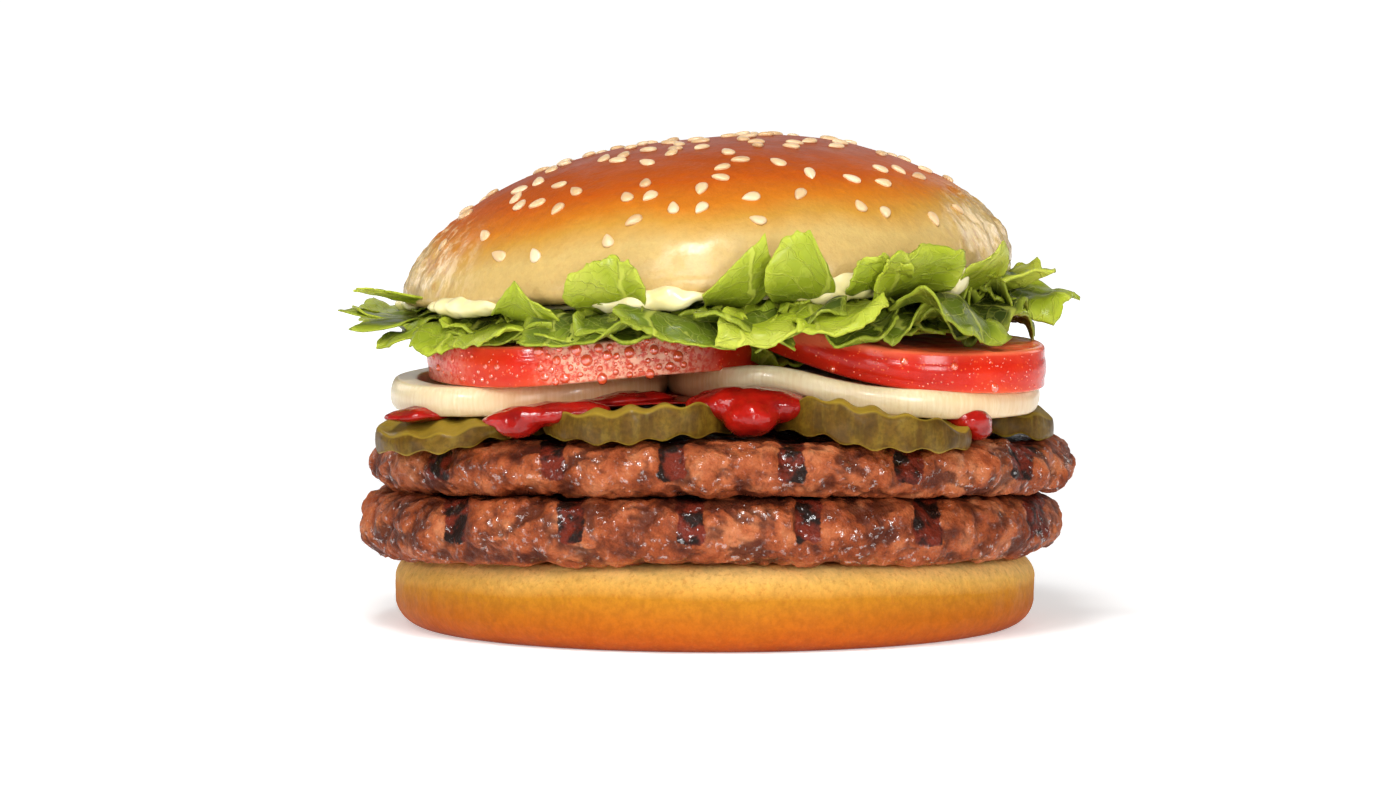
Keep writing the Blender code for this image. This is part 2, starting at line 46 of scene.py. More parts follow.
# The forms of the solids: the same named values as in their source.
HEEL_RADIUS = 57 * MM
HEEL_TOP = 15.3 * MM
PATTY_RADIUS = 62.2 * MM
PATTY_GRILL_PITCH = 20.4 * MM
PATTY_GRILL_WIDTH = 4.6 * MM
PICKLE_PITCH = 5.9 * MM
PICKLE_WAVE = 0.9 * MM
KETCHUP_RADIUS = 47 * MM
CORE_RADIUS = 45 * MM
CROWN_RADIUS = 54 * MM
CROWN_CENTRE_X = -1.4 * MM
CROWN_BASE = 59.8 * MM
CROWN_WIDEST = 61.6 * MM
CROWN_TOP = 86.5 * MM
SEED_LENGTH = 3.1 * MM
SEED_WIDTH = 1.9 * MM
SEED_HEIGHT = 1.0 * MM
SEED_COUNT = 80
SIDE_SAG = 3.0 * MM
SAG_REACH = 60 * MM
FRONT_SAG = 1.3 * MM
DRAPE = 1.6 * MM
CURL = 1.3 * MM
LEAN_RIGHT = 0.068
LEAN_FRONT = 0.030
PATTY_LOWER = (15.6 * MM, 26.9 * MM)
PATTY_UPPER = (27.4 * MM, 36.4 * MM)
PICKLE = (36.9 * MM, 41.95 * MM)
KETCHUP = (42.32 * MM, 42.64 * MM)
ONION = (43.0 * MM, 46.7 * MM)
TOMATO = (47.0 * MM, 53.2 * MM)
LETTUCE_CORE = (56.9 * MM, 58.4 * MM)
MAYO = (58.75 * MM, 59.5 * MM)

# Slices: centre in X and Y and radius in mm, and for some their lift in mm and tip and nod in degrees.
PICKLES = (
    (-43.4, -28.0, 16.0, 0.2, 0.0, 1.3),
    (-13.2, -42.7, 16.5, 0.1, 0.0, 0.0),
    (27.0, -41.0, 17.2, 0.45, 0.6, 0.3),
    (44.8, -9.5, 15.2),
    (33.0, 28.5, 16.8),
    (-2.0, 42.0, 16.4),
    (-36.0, 24.5, 17.0),
)
ONIONS = (
    (-32.5, -18.0, 24.5, 0.2, 0.6, 1.0),
    (24.2, -17.0, 32.8, 0.2, 0.4, 0.3),
    (-15.0, 34.0, 24.5),
    (32.5, 36.0, 17.0),
)
TOMATOES = (
    (-20.5, -19.5, 30.0, 0.85, -0.5, 0.6),
    (31.4, -20.5, 26.5, 0.2, 0.5, 0.3),
    (-24.5, 34.5, 23.0),
    (26.0, 35.5, 24.5, 1.0, 2.0, 0.0),
)
TOMATO_THICKNESS = (1.0, 0.88, 0.85, 0.85)
TOMATO_RISE = 3.2 * MM
ONION_WALL = 5.5 * MM
ONION_SUNK = 2.0 * MM
ONION_ARCH = 1.8 * MM

# Mounds of ketchup: centre and radii in mm.
KETCHUP_RUNS = (
    ((-51.5, -32.0, 42.5), (6.5, 5.5, 1.4)),
    ((-29.2, -47.5, 42.2), (11.5, 5.0, 2.2)),
    ((-33.9, -48.5, 40.9), (4.0, 3.6, 3.2)),
    ((6.0, -48.5, 42.4), (11.5, 6.6, 3.2)),
    ((6.1, -52.5, 40.7), (4.9, 4.6, 3.5)),
    ((43.5, -39.0, 41.8), (4.2, 5.0, 2.8)),
    ((45.2, -38.5, 40.4), (2.6, 4.0, 3.2)),
    ((17.0, 46.0, 40.9), (6.5, 7.0, 3.2)),
    ((-21.5, 42.5, 40.9), (7.0, 6.5, 3.2)),
)
KETCHUP_INSIDE = (((11.0, 34.0, 44.2), (7.0, 11.0, 3.4)), ((-17.0, -37.0, 43.0), (11.0, 6.0, 1.2)))

# Lobes of mayonnaise: bearing from the front in degrees, then reach and radii in mm.
MAYO_LOBES = (
    (-54, 52.8, (8.5, 3.6, 1.9)),
    (-12, 53.2, (8.5, 3.2, 2.1)),
    (26, 53.2, (7.0, 3.4, 2.1)),
    (52, 53.0, (3.6, 2.6, 1.7)),
    (105, 53.0, (7.5, 3.4, 1.9)),
    (160, 53.4, (9.0, 3.4, 2.0)),
    (215, 53.0, (8.0, 3.4, 1.9)),
    (262, 52.8, (6.5, 3.4, 1.8)),
)

# Leaf pieces: bearing from the front in degrees, reach and height of the bend and of the tip in mm,
# width in mm, twist in degrees and ruffle in mm. All start at the root inside the heap.
LEAF_ROOT = (43.5, 57.6)
TUCKED_ROOT = (43.5, 57.2)
LEAVES_SEEN = (
    (-78, (56, 56.5), (68, 58.5), 20, -22, 1.2),
    (-71, (55, 62.5), (67, 64.0), 5, 10, 0.3),
    (-70, (58, 56), (64, 51.5), 15, 10, 1.2),
    (-57, (59, 57.5), (61, 50.0), 10, -12, 1.2),
    (-46, (59, 57.0), (60, 51.5), 20, 14, 1.4),
    (-36, (60, 54.5), (58.5, 64.0), 16, -10, 1.0),
    (-24, (60, 57.5), (60, 52.5), 21, 8, 1.4),
    (-20, (60, 57.0), (57.5, 68.0), 14, -6, 0.6),
    (-6, (60, 57.5), (61, 52.5), 21, -8, 1.4),
    (3, (60, 58.0), (57.5, 69.0), 14, 12, 0.6),
    (8, (60, 57.0), (60.5, 51.5), 14, 6, 1.2),
    (16, (61, 57.5), (58, 69.5), 14, -10, 0.6),
    (21, (60, 58.5), (62, 54.0), 16, 10, 1.2),
    (29, (61, 58.5), (59, 65.5), 11, -8, 0.8),
    (37, (61, 58.0), (59.5, 66.0), 16, 10, 1.0),
    (43, (60, 58.0), (63.5, 54.5), 22, -8, 1.4),
    (57, (61, 58.5), (59, 66.0), 13, 10, 0.8),
    (71, (56, 58.5), (62, 60.5), 17, -16, 1.2),
    (79, (56, 57.5), (65, 55.5), 15, 8, 1.2),
)
LEAVES_BEHIND = 12
BEHIND_FROM, BEHIND_TO = 92, 272

# How far some leaf pieces reach at five places across their tip, as shares of their length.
LEAF_TIPS = {
    0: (0.70, 1.00, 0.62, 0.98, 0.60),
    2: (0.90, 1.04, 0.92, 1.02, 0.85),
    5: (0.62, 0.86, 1.04, 0.86, 0.66),
    9: (0.50, 0.64, 0.80, 0.94, 1.06),
    11: (0.98, 1.04, 1.02, 0.76, 0.45),
    16: (0.70, 0.92, 0.96, 0.80, 0.50),
    17: (0.30, 0.55, 0.84, 1.00, 0.90),
    19: (0.50, 0.60, 0.64, 0.60, 0.50),
}
# Half widths of a torn leaf piece from root to tip: lowest, highest, and what a broad piece has more.
LEAF_SIDES = ((0.75, 1.0, 0.0), (0.9, 1.12, 0.0), (0.7, 1.05, 0.12), (0.45, 0.9, 0.30))
HANGING_SHARE = 0.86
LEAF_HALF_THICKNESS = 0.18 * MM

# Water drops: tomato slice, reach in X in mm, smallest and biggest radius in mm, and how many are tried.
# Their skin meets the slice at the contact angle, in degrees.
DROP_KINDS = (
    (0, -31, -5, 0.55, 1.15, 150),
    (0, -31, -3, 0.16, 0.42, 260),
    (0, -50, -32, 0.22, 0.75, 40),
    (0, -50, 4, 0.10, 0.20, 260),
    (1, 16, 56, 0.10, 0.20, 200),
    (1, 18, 56, 0.55, 1.00, 26),
)
DROP_CONTACT = 68
EXTRA_SEEDS = 44

# Details of the forms. Each row of crumbs is a size in mm and a share of their depth.
PATTY_EDGE = 5.5 * MM
CRUMBS = ((3.6, 0.60), (1.9, 0.34), (0.95, 0.16))
CRUMB_DEPTH = 0.72 * MM
SLICE_EDGE = 1.3 * MM
ONION_GROOVE = 0.7 * MM
ONION_RIM_DROP = 0.8 * MM
PICKLE_3_LIFT = 1.5 * MM

# How dense the meshes are: steps round each turned piece, rows and columns of each leaf piece.
HEEL_STEPS = 400
PATTY_STEPS = 760
PICKLE_STEPS = 180
ONION_STEPS = 190
TOMATO_STEPS = 200
CROWN_STEPS = 300
LAYER_STEPS = 120
LEAF_GRID = (35, 25)
TUCKED_GRID = (29, 22)
SCRAP_GRID = (16, 12)
DROP_STEPS = 12
SEED_STEPS = 14
BLOB_STEPS = 28
SAUCE_VOXEL = 0.4 * MM

# Soft lights: name, place, size, power and colour.
WHITE = (1, 1, 1)
WARM = (1.0, 0.95, 0.88)
LIGHTS = (
    ("key", (-0.20, -0.79, 0.76), 0.50, 4.4, WHITE),
    ("fill", (0.60, -0.85, 0.30), 0.22, 3.4, WHITE),
    ("spark_left", (-0.75, -0.55, 0.30), 0.05, 1.5, WHITE),
    ("spark_right", (0.25, -1.00, 0.45), 0.05, 1.5, WHITE),
    ("front", (-0.10, -1.05, 0.20), 0.25, 1.5, WHITE),
    ("top", (-0.12, -0.47, 0.98), 0.24, 4.8, WHITE),
    ("rim", (0.05, 0.95, 0.42), 0.50, 0.6, WHITE),
    ("back_left", (-0.75, 0.80, 0.40), 0.40, 1.1, WARM),
    ("back_right", (0.75, 0.80, 0.40), 0.40, 1.1, WARM),
)
LIT_POINT = Vector((0, 0, 0.045))
CAMERA_TARGET = Vector((-0.0027, 0, 0.0409))
CAMERA_DISTANCE = 1.3
CAMERA_RISE = math.radians(4.0)


def ramp(value, low, high):
    """0 at or below low, 1 at or above high, and smooth between."""
    share = np.clip((np.asarray(value) - low) / (high - low), 0, 1)
    return share * share * (3 - 2 * share)


def settle(points):
    """The soft stack at rest: its middle layers sag at the sides and its crown leans."""
    x, y, z = points.T
    held = ramp(z, 2 * MM, 14 * MM) * (1 - ramp(z, 46 * MM, 60 * MM))
    leaning = ramp(z, 50 * MM, 62 * MM)
    sag = SIDE_SAG * (x / SAG_REACH) ** 2 * held
    slipping = ramp(z, 37 * MM, 42 * MM) * (1 - ramp(z, 50 * MM, 60 * MM))
    sag += FRONT_SAG * ramp(-y, 10 * MM, 50 * MM) * ramp(abs(x), 5 * MM, 40 * MM) * slipping
    lean = (LEAN_RIGHT * x - LEAN_FRONT * y) * leaning
    return np.column_stack((x, y, z - sag + lean))


def shifted(points, size, seed):
    return (np.asarray(points) / size + np.array((seed, 2.7 * seed, -1.3 * seed))).tolist()


def lumps(points, size, seed):
    """Smooth noise at the points, with lumps of the given size."""
    return np.array([noise.noise(p) for p in shifted(points, size, seed)])


def cells(points, size, seed):
    """Distance to the nearest cell centre, and to the next nearest, in cells."""
    found = [noise.voronoi(p)[0] for p in shifted(points, size, seed)]
    return np.array([d[0] for d in found]), np.array([d[1] for d in found])


def arc(centre_r, centre_z, radius_r, radius_z, start, end, steps):
    angles = [math.radians(start + (end - start) * step / steps) for step in range(steps + 1)]
    return [(centre_r + radius_r * math.cos(a), centre_z + radius_z * math.sin(a)) for a in angles]


def densify(profile, coarse, fine=None, shell=math.inf):
    """Adds points to a profile: coarse or, outside the shell radius, fine is their spacing in mm."""

    def spacing(radius):
        return (fine if radius > shell else coarse) * MM

    dense = [profile[0]]
    for (r0, z0), (r1, z1) in zip(profile, profile[1:]):
        length, gone = math.hypot(r1 - r0, z1 - z0), 0.0
        while gone < length:
            wide = spacing(r0 + (r1 - r0) * gone / length)
            wide = min(wide, spacing(r0 + (r1 - r0) * (gone + wide) / length))
            gone = length if gone + 1.4 * wide > length else gone + wide
            dense.append((r0 + (r1 - r0) * gone / length, z0 + (z1 - z0) * gone / length))
    return dense


def turned(profile, steps):
    """Points and faces of a solid turned about Z from an (r, z) profile that runs downward."""
    angles = np.arange(steps) * math.tau / steps
    rings = [(0, 0, profile[0][1])]
    for r, z in profile[1:-1]:
        rings += np.column_stack((r * np.cos(angles), r * np.sin(angles), np.full(steps, z))).tolist()
    rings.append((0, 0, profile[-1][1]))
    count = len(profile) - 2
    pairs = [(a, (a + 1) % steps) for a in range(steps)]
    faces = [(0, 1 + a, 1 + b) for a, b in pairs]
    for ring in range(count - 1):
        here, below = 1 + ring * steps, 1 + (ring + 1) * steps
        faces += [(here + a, below + a, below + b, here + b) for a, b in pairs]
    last = 1 + (count - 1) * steps
    faces += [(last + a, 1 + count * steps, last + b) for a, b in pairs]
    return np.array(rings), faces


def disc_profile(radius, low, high, edge, steps):
    """Profile of a flat disc with a rounded rim."""
    half, middle = (high - low) / 2, (high + low) / 2
    rim = arc(radius - edge, middle, edge, half, 90, -90, 2 * steps)
    return [(0, high)] + rim + [(0, low)]


def joined(parts):
    """Points and faces of several meshes as those of one."""
    start, all_faces = 0, []
    for points, faces in parts:
        all_faces += [tuple(start + i for i in face) for face in faces]
        start += len(points)
    return np.concatenate([points for points, _ in parts]), all_faces


def linked(name, data):
    obj = bpy.data.objects.new(name, data)
    bpy.context.scene.collection.objects.link(obj)
    return obj


def add_mesh(name, points, faces, material, nodes, slot, attributes=None):
    """A visible piece of the part. The attributes are values at its points for its material."""
    mesh = bpy.data.meshes.new(name)
    mesh.from_pydata(np.asarray(points).tolist(), [], faces)
    mesh.materials.append(material)
    mesh.shade_smooth()
    for key, values in (attributes or {}).items():
        values = np.asarray(values, np.float32)
        kind, field = ("FLOAT_VECTOR", "vector") if values.ndim == 2 else ("FLOAT", "value")
        mesh.attributes.new(key, kind, "POINT").data.foreach_set(field, values.ravel())
    dress(linked(name, mesh), nodes)


def dress(obj, nodes):
    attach(obj, "root")
    if nodes:
        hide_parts(*nodes)


def normals_of(points, faces):
    mesh = bpy.data.meshes.new("measure")
    mesh.from_pydata(points.tolist(), [], faces)
    found = np.zeros(len(points) * 3)
    mesh.vertices.foreach_get("normal", found)
    bpy.data.meshes.remove(mesh)
    return found.reshape(-1, 3)


def reach_of(points):
    """Distance of the points from the Z axis."""
    return np.hypot(points[:, 0], points[:, 1])


def around(bearing, reach, side):
    """X and Y of a place at a bearing from the front: so far out, and so far to the side."""
    angle = math.radians(bearing)
    return (
        reach * math.sin(angle) + side * math.cos(angle),
        -reach * math.cos(angle) + side * math.sin(angle),
    )


class Nodes:
    """A node tree built node by node. A socket or a plain value can be an input."""

    def __init__(self, owner):
        owner.use_nodes = True
        self.tree = owner.node_tree

    def put(self, socket, value):
        if isinstance(value, bpy.types.NodeSocket):
            self.tree.links.new(value, socket)
        elif isinstance(value, tuple) and len(value) == 3 and socket.type == "RGBA":
            socket.default_value = (*value, 1)
        else:
            socket.default_value = value

    def node(self, kind, inputs=None, out=0, **settings):
        made = self.tree.nodes.new("ShaderNode" + kind)
        for key, value in settings.items():
            setattr(made, key, value)
        for key, value in (inputs or {}).items():
            self.put(made.inputs[key], value)
        return made.outputs[out]


class Look(Nodes):
    """A Principled material. Soft is how light goes into it: weight, radii of red, green and blue, scale."""

    def __init__(self, name, soft=(), **constants):
        self.material = bpy.data.materials.new(name)
        super().__init__(self.material)
        self.shader = self.tree.nodes["Principled BSDF"]
        constants.update(zip(("Subsurface_Weight", "Subsurface_Radius", "Subsurface_Scale"), soft))
        for key, value in constants.items():
            self.shader.inputs[key.replace("_", " ")].default_value = value

    def place(self):
        return self.node("TexCoord", out="Object")

    def attribute(self, name):
        return self.node("Attribute", out="Fac", attribute_name=name)

    def noise(self, size, detail=3, rough=0.55, stretch=None):
        """Noise with lumps of the given size in metres, longer where the stretch is under 1."""
        vector = self.place()
        if stretch:
            vector = self.node("VectorMath", {0: vector, 1: stretch}, operation="MULTIPLY")
        inputs = {"Vector": vector, "Scale": 1 / size, "Detail": detail, "Roughness": rough}
        return self.node("TexNoise", inputs)

    def math(self, operation, a, b=0.0):
        return self.node("Math", {0: a, 1: b}, operation=operation)

    def times(self, a, b):
        return self.math("MULTIPLY", a, b)

    def plus(self, a, b):
        return self.math("ADD", a, b)

    def fit(self, value, low, high, to_low=0.0, to_high=1.0):
        inputs = {0: value, 1: low, 2: high, 3: to_low, 4: to_high}
        return self.node("MapRange", inputs, interpolation_type="SMOOTHSTEP")

    def mix(self, share, a, b, blend="MIX"):
        return self.node("Mix", {0: share, 6: a, 7: b}, out=2, data_type="RGBA", blend_type=blend)

    def stops(self, value, *colours):
        made = self.tree.nodes.new("ShaderNodeValToRGB")
        self.put(made.inputs[0], value)
        band = made.color_ramp.elements
        for _ in range(len(colours) - 2):
            band.new(0.5)
        for element, (position, colour) in zip(band, colours):
            element.position = position
            element.color = (*colour, 1)
        return made.outputs[0]

    def bump(self, height, distance, after=None):
        inputs = {"Height": height, "Distance": distance, "Strength": 1.0}
        if after:
            inputs["Normal"] = after
        return self.node("Bump", inputs)

    def finish(self, **sockets):
        for key, value in sockets.items():
            self.put(self.shader.inputs[key.replace("_", " ")], value)
        return self.material


def crust_look(name, colours, roughness, coat, speck, flaky=False):
    """Baked crust, coloured by an attribute that runs from its base to its top."""
    look = Look(name, (0.06, (0.004, 0.002, 0.001), 0.3), Specular_IOR_Level=0.1, Coat_Roughness=0.2)
    uneven = look.times(look.math("SUBTRACT", look.noise(0.016, 3), 0.5), 0.16)
    baked = look.plus(look.attribute("height"), uneven)
    colour = look.stops(baked, *colours)
    specks = look.fit(look.noise(0.0007, 2), 0.54, 0.70)
    colour = look.mix(look.times(specks, speck), colour, (0.42, 0.12, 0.014))
    low, high = (0.94, 1.05) if flaky else (0.84, 1.12)
    mottle = look.fit(look.noise(0.0016, 5, rough=0.75), 0.3, 0.7, low, high)
    colour = look.mix(1.0, colour, look.node("CombineColor", {0: mottle, 1: mottle, 2: mottle}), "MULTIPLY")
    if flaky:
        streaks = look.noise(0.0022, 5, stretch=(1, 1, 0.35), rough=0.65)
        share = look.times(look.attribute("ends"), look.fit(streaks, 0.50, 0.60))
        colour = look.mix(look.times(share, 0.8), colour, (0.84, 0.62, 0.34))
        share = look.times(look.attribute("ends"), look.fit(streaks, 0.46, 0.38))
        colour = look.mix(look.times(share, 0.6), colour, (0.40, 0.17, 0.045))
    grain = look.bump(look.noise(0.0007, 3), 0.00007)
    wrinkle = look.bump(look.noise(0.004, 5), 0.00060 if flaky else 0.00025, grain)
    gloss = look.fit(look.noise(0.006, 3), 0.3, 0.7, roughness, roughness + 0.14)
    glaze = look.fit(baked, 0.35, 0.75, coat, 0.15 * coat)
    glaze = look.times(glaze, look.fit(look.noise(0.0030, 4, rough=0.65), 0.38, 0.58, 0.30, 1.0))
    return look.finish(Base_Color=colour, Roughness=gloss, Normal=wrinkle, Coat_Weight=glaze)


def heel_look():
    colours = (
        (0.0, (0.29, 0.042, 0.003)),
        (0.12, (0.41, 0.078, 0.004)),
        (0.38, (0.43, 0.120, 0.005)),
        (0.62, (0.47, 0.185, 0.010)),
        (0.80, (0.69, 0.380, 0.078)),
        (0.95, (0.87, 0.540, 0.175)),
    )
    return crust_look("heel_crust", colours, 0.55, 0.0, 0.32)


def crown_look():
    colours = (
        (0.0, (0.56, 0.375, 0.135)),
        (0.36, (0.56, 0.380, 0.125)),
        (0.50, (0.52, 0.255, 0.034)),
        (0.59, (0.54, 0.165, 0.009)),
        (0.72, (0.48, 0.085, 0.003)),
        (0.95, (0.32, 0.047, 0.003)),
    )
    return crust_look("crown_crust", colours, 0.42, 0.85, 0.10, flaky=True)


def beef_look():
    soft = {"Subsurface_Weight": 0.05, "Subsurface_Scale": 0.002}
    look = Look("grilled_beef", Coat_Roughness=0.12, Coat_IOR=2.8, Specular_IOR_Level=0.15, **soft)
    patches = look.noise(0.0065, 5, rough=0.62)
    colour = look.stops(
        patches,
        (0.32, (0.09, 0.018, 0.006)),
        (0.45, (0.25, 0.050, 0.013)),
        (0.56, (0.38, 0.097, 0.031)),
        (0.70, (0.49, 0.175, 0.072)),
    )
    seared = look.fit(look.noise(0.0024, 4, rough=0.65), 0.50, 0.68)
    colour = look.mix(look.times(seared, 0.6), colour, (0.085, 0.016, 0.006))
    # Painted shade: the colour goes nearly black where the crumbly relief dips, down in its crevices.
    low = look.fit(look.attribute("depth"), -0.5, 0.15, 0.8, 0.0)
    colour = look.mix(low, colour, (0.050, 0.009, 0.004))
    ragged = look.times(look.math("SUBTRACT", look.noise(0.0055, 6, rough=0.7), 0.5), 2.2)
    burnt = look.fit(look.plus(look.attribute("char"), ragged), 0.50, 0.72)
    char = look.mix(look.fit(look.noise(0.0035, 3), 0.40, 0.60), (0.012, 0.004, 0.002), (0.140, 0.016, 0.006))
    colour = look.mix(burnt, colour, char)
    grain = look.bump(look.noise(0.0009, 3, rough=0.6), 0.00030)
    fibres = look.bump(look.noise(0.0024, 4, rough=0.6), 0.0008, grain)
    wet = look.fit(look.noise(0.005, 3), 0.35, 0.65, 0.4, 0.7)
    juice = look.fit(look.noise(0.0060, 3), 0.42, 0.56, 0.15, 1.0)
    juice = look.times(juice, look.fit(look.noise(0.0011, 3, rough=0.6), 0.56, 0.63, 0.0, 1.0))
    return look.finish(Base_Color=colour, Roughness=wet, Normal=fibres, Coat_Normal=fibres, Coat_Weight=juice)


def pickle_look():
    soft = (0.15, (0.004, 0.003, 0.0005), 0.3)
    look = Look("pickle_flesh", soft, Coat_Roughness=0.12, Specular_IOR_Level=0.1)
    base = look.stops(
        look.noise(0.005, 4),
        (0.32, (0.062, 0.029, 0.003)),
        (0.50, (0.115, 0.056, 0.005)),
        (0.68, (0.170, 0.098, 0.008)),
    )
    fibres = look.noise(0.0016, 3, stretch=(1, 1, 0.25))
    base = look.mix(look.fit(fibres, 0.45, 0.75, 0, 0.5), base, (0.22, 0.145, 0.015))
    base = look.mix(look.fit(look.noise(0.0008, 3), 0.42, 0.62, 0, 0.35), base, (0.040, 0.024, 0.003))
    colour = look.mix(look.fit(look.attribute("edge"), 0.78, 1.0, 0, 0.7), base, (0.34, 0.225, 0.022))
    normal = look.bump(look.noise(0.0012, 3, stretch=(1, 1, 0.3)), 0.00012)
    brine = look.fit(look.noise(0.004, 2), 0.45, 0.65, 0.02, 0.25)
    dull = look.fit(look.attribute("edge"), 0.6, 1.0, 0.4, 0.65)
    return look.finish(Base_Color=colour, Roughness=dull, Normal=normal, Coat_Weight=brine)


def tomato_look():
    soft = (0.12, (0.006, 0.0008, 0.0003), 0.3)
    look = Look("tomato_flesh", soft, Coat_Roughness=0.14, Specular_IOR_Level=0.1)
    skin = look.stops(
        look.noise(0.014, 3),
        (0.30, (0.44, 0.012, 0.005)),
        (0.52, (0.58, 0.020, 0.006)),
        (0.72, (0.68, 0.050, 0.008)),
    )
    dots = look.node("TexVoronoi", {"Vector": look.place(), "Scale": 1 / 0.0011})
    dots = look.fit(dots, 0.08, 0.22, 0.5, 0.0)
    skin = look.mix(dots, skin, (0.90, 0.16, 0.035))
    cut = look.stops(
        look.noise(0.004, 4, stretch=(1, 1, 2)),
        (0.35, (0.80, 0.080, 0.025)),
        (0.65, (0.94, 0.190, 0.070)),
    )
    colour = look.mix(look.attribute("face"), skin, cut)
    colour = look.mix(look.times(look.attribute("lip"), 0.55), colour, (0.90, 0.22, 0.09))
    # Condensation with a painted reflection: the misted front is mixed toward a whitish pink that stands for
    # a soft lamp's sheen on the wet skin.
    fog = look.times(look.attribute("mist"), look.fit(look.noise(0.0009, 3), 0.36, 0.60, 0.10, 1.0))
    colour = look.mix(look.times(fog, 0.70), colour, (0.98, 0.62, 0.43))
    normal = look.bump(look.noise(0.0012, 3), 0.00008)
    dull = look.fit(fog, 0, 1, 0.2, 0.4)
    wet = look.fit(look.attribute("face"), 0, 1, 0.28, 0.08)
    return look.finish(Base_Color=colour, Roughness=dull, Normal=normal, Coat_Weight=wet)


def onion_look():
    look = Look("onion_flesh", (0.25, (0.006, 0.004, 0.002), 0.4), Coat_Weight=0.3, Coat_Roughness=0.14)
    lines = look.noise(0.0006, 3, stretch=(1, 1, 0.04), rough=0.6)
    pale = ((0.30, (0.68, 0.55, 0.32)), (0.55, (0.72, 0.61, 0.38)), (0.75, (0.76, 0.67, 0.45)))
    peach = ((0.30, (0.68, 0.36, 0.16)), (0.55, (0.73, 0.43, 0.21)), (0.75, (0.77, 0.49, 0.27)))
    # Painted reflected light: the peach tint stands for red light thrown back from the ketchup and tomato,
    # with a little random tone.
    blush = look.plus(look.attribute("blush"), look.times(look.noise(0.012, 2), 0.5))
    colour = look.mix(look.fit(blush, 0.25, 1.15), look.stops(lines, *pale), look.stops(lines, *peach))
    green = look.fit(look.noise(0.018, 2), 0.52, 0.75, 0, 0.2)
    colour = look.mix(green, colour, (0.66, 0.66, 0.25))
    normal = look.bump(lines, 0.0001)
    return look.finish(Base_Color=colour, Roughness=0.3, Normal=normal)


def leaf_look():
    soft = (0.12, (0.002, 0.003, 0.0003), 0.3)
    look = Look("lettuce_leaf", soft, Coat_Weight=0.12, Coat_Roughness=0.16, Specular_IOR_Level=0.12)
    place = look.node("Attribute", out="Vector", attribute_name="leaf")
    warp = look.node("TexNoise", {"Vector": place, "Scale": 180, "Detail": 3}, out="Color")
    warp = look.node("VectorMath", {0: warp, 1: (0.5, 0.5, 0.5)}, operation="SUBTRACT")
    warp = look.node("VectorMath", {0: warp, "Scale": 0.004}, operation="SCALE")
    bent = look.node("VectorMath", {0: place, 1: warp}, operation="ADD")
    # The tone attribute is each piece's own tone with painted shade added: low values, darker, stand for
    # shade inside the heap.
    tone = look.plus(look.attribute("tone"), look.times(look.noise(0.010, 3), 0.5))
    colour = look.stops(
        tone,
        (0.18, (0.028, 0.042, 0.004)),
        (0.40, (0.100, 0.140, 0.008)),
        (0.64, (0.270, 0.325, 0.015)),
        (0.92, (0.540, 0.540, 0.090)),
    )
    along = look.node("SeparateXYZ", {0: bent})
    across = look.math("ABSOLUTE", look.node("SeparateXYZ", {0: bent}, out=1))
    rib = look.fit(across, 0.0002, 0.0007, 1.0, 0.0)
    fan = look.plus(look.times(along, 190), look.times(across, -150))
    branch = look.math("ABSOLUTE", look.math("SUBTRACT", look.math("FRACT", fan), 0.5))
    branch = look.fit(branch, 0.005, 0.055, 0.8, 0.0)
    net = look.node("TexVoronoi", {"Vector": bent, "Scale": 420}, feature="DISTANCE_TO_EDGE")
    net = look.fit(net, 0.0, 0.07, 0.35, 0.0)
    vein = look.math("MAXIMUM", look.math("MAXIMUM", rib, branch), net)
    colour = look.mix(look.times(vein, 0.36), colour, (0.58, 0.60, 0.10))
    colour = look.mix(look.times(look.attribute("rim"), 0.40), colour, (0.50, 0.56, 0.050))
    crinkle = look.bump(look.noise(0.0036, 3), 0.0003)
    normal = look.bump(vein, 0.00022, crinkle)
    gloss = look.fit(look.noise(0.005, 2), 0.3, 0.7, 0.3, 0.48)
    return look.finish(Base_Color=colour, Roughness=gloss, Normal=normal)


def ketchup_look():
    soft = (0.08, (0.003, 0.0003, 0.0002), 0.3)
    look = Look("ketchup_sauce", soft, Coat_Weight=0.6, Coat_Roughness=0.07, Specular_IOR_Level=0.1)
    colour = look.stops(look.noise(0.004, 3), (0.3, (0.18, 0.004, 0.003)), (0.7, (0.42, 0.009, 0.004)))
    normal = look.bump(look.noise(0.0025, 3), 0.00035)
    return look.finish(Base_Color=colour, Roughness=0.2, Normal=normal, Coat_Normal=normal)


def mayo_look():
    look = Look("mayo_sauce", (0.2, (0.003, 0.003, 0.001), 0.3), Coat_Weight=0.5, Coat_Roughness=0.1)
    colour = look.stops(look.noise(0.006, 2), (0.3, (0.82, 0.70, 0.30)), (0.7, (0.90, 0.83, 0.50)))
    normal = look.bump(look.noise(0.003, 2), 0.00015)
    return look.finish(Base_Color=colour, Roughness=0.26, Normal=normal)


def seed_look():
    look = Look("sesame_seed", (0.15, (0.001, 0.0008, 0.0004)), Coat_Weight=0.35, Coat_Roughness=0.25)
    tone = look.plus(look.attribute("tone"), look.times(look.noise(0.0012, 3), 0.35))
    colours = ((0.15, (0.58, 0.32, 0.13)), (0.55, (0.74, 0.50, 0.26)), (1.0, (0.84, 0.66, 0.42)))
    colour = look.stops(tone, *colours)
    normal = look.bump(look.noise(0.0005, 3), 0.00004)
    return look.finish(Base_Color=colour, Roughness=0.4, Normal=normal)


def water_look():
    coat = {"Coat_Weight": 1.0, "Coat_Roughness": 0.03, "Coat_IOR": 2.2}
    look = Look("water_drop", Roughness=0.05, IOR=1.4, Transmission_Weight=0.1, **coat)
    colour = look.mix(look.noise(0.003, 2), (0.74, 0.060, 0.018), (0.86, 0.13, 0.04))
    normal = look.bump(look.noise(0.002, 1), 0.00001)
    return look.finish(Base_Color=colour, Normal=normal)


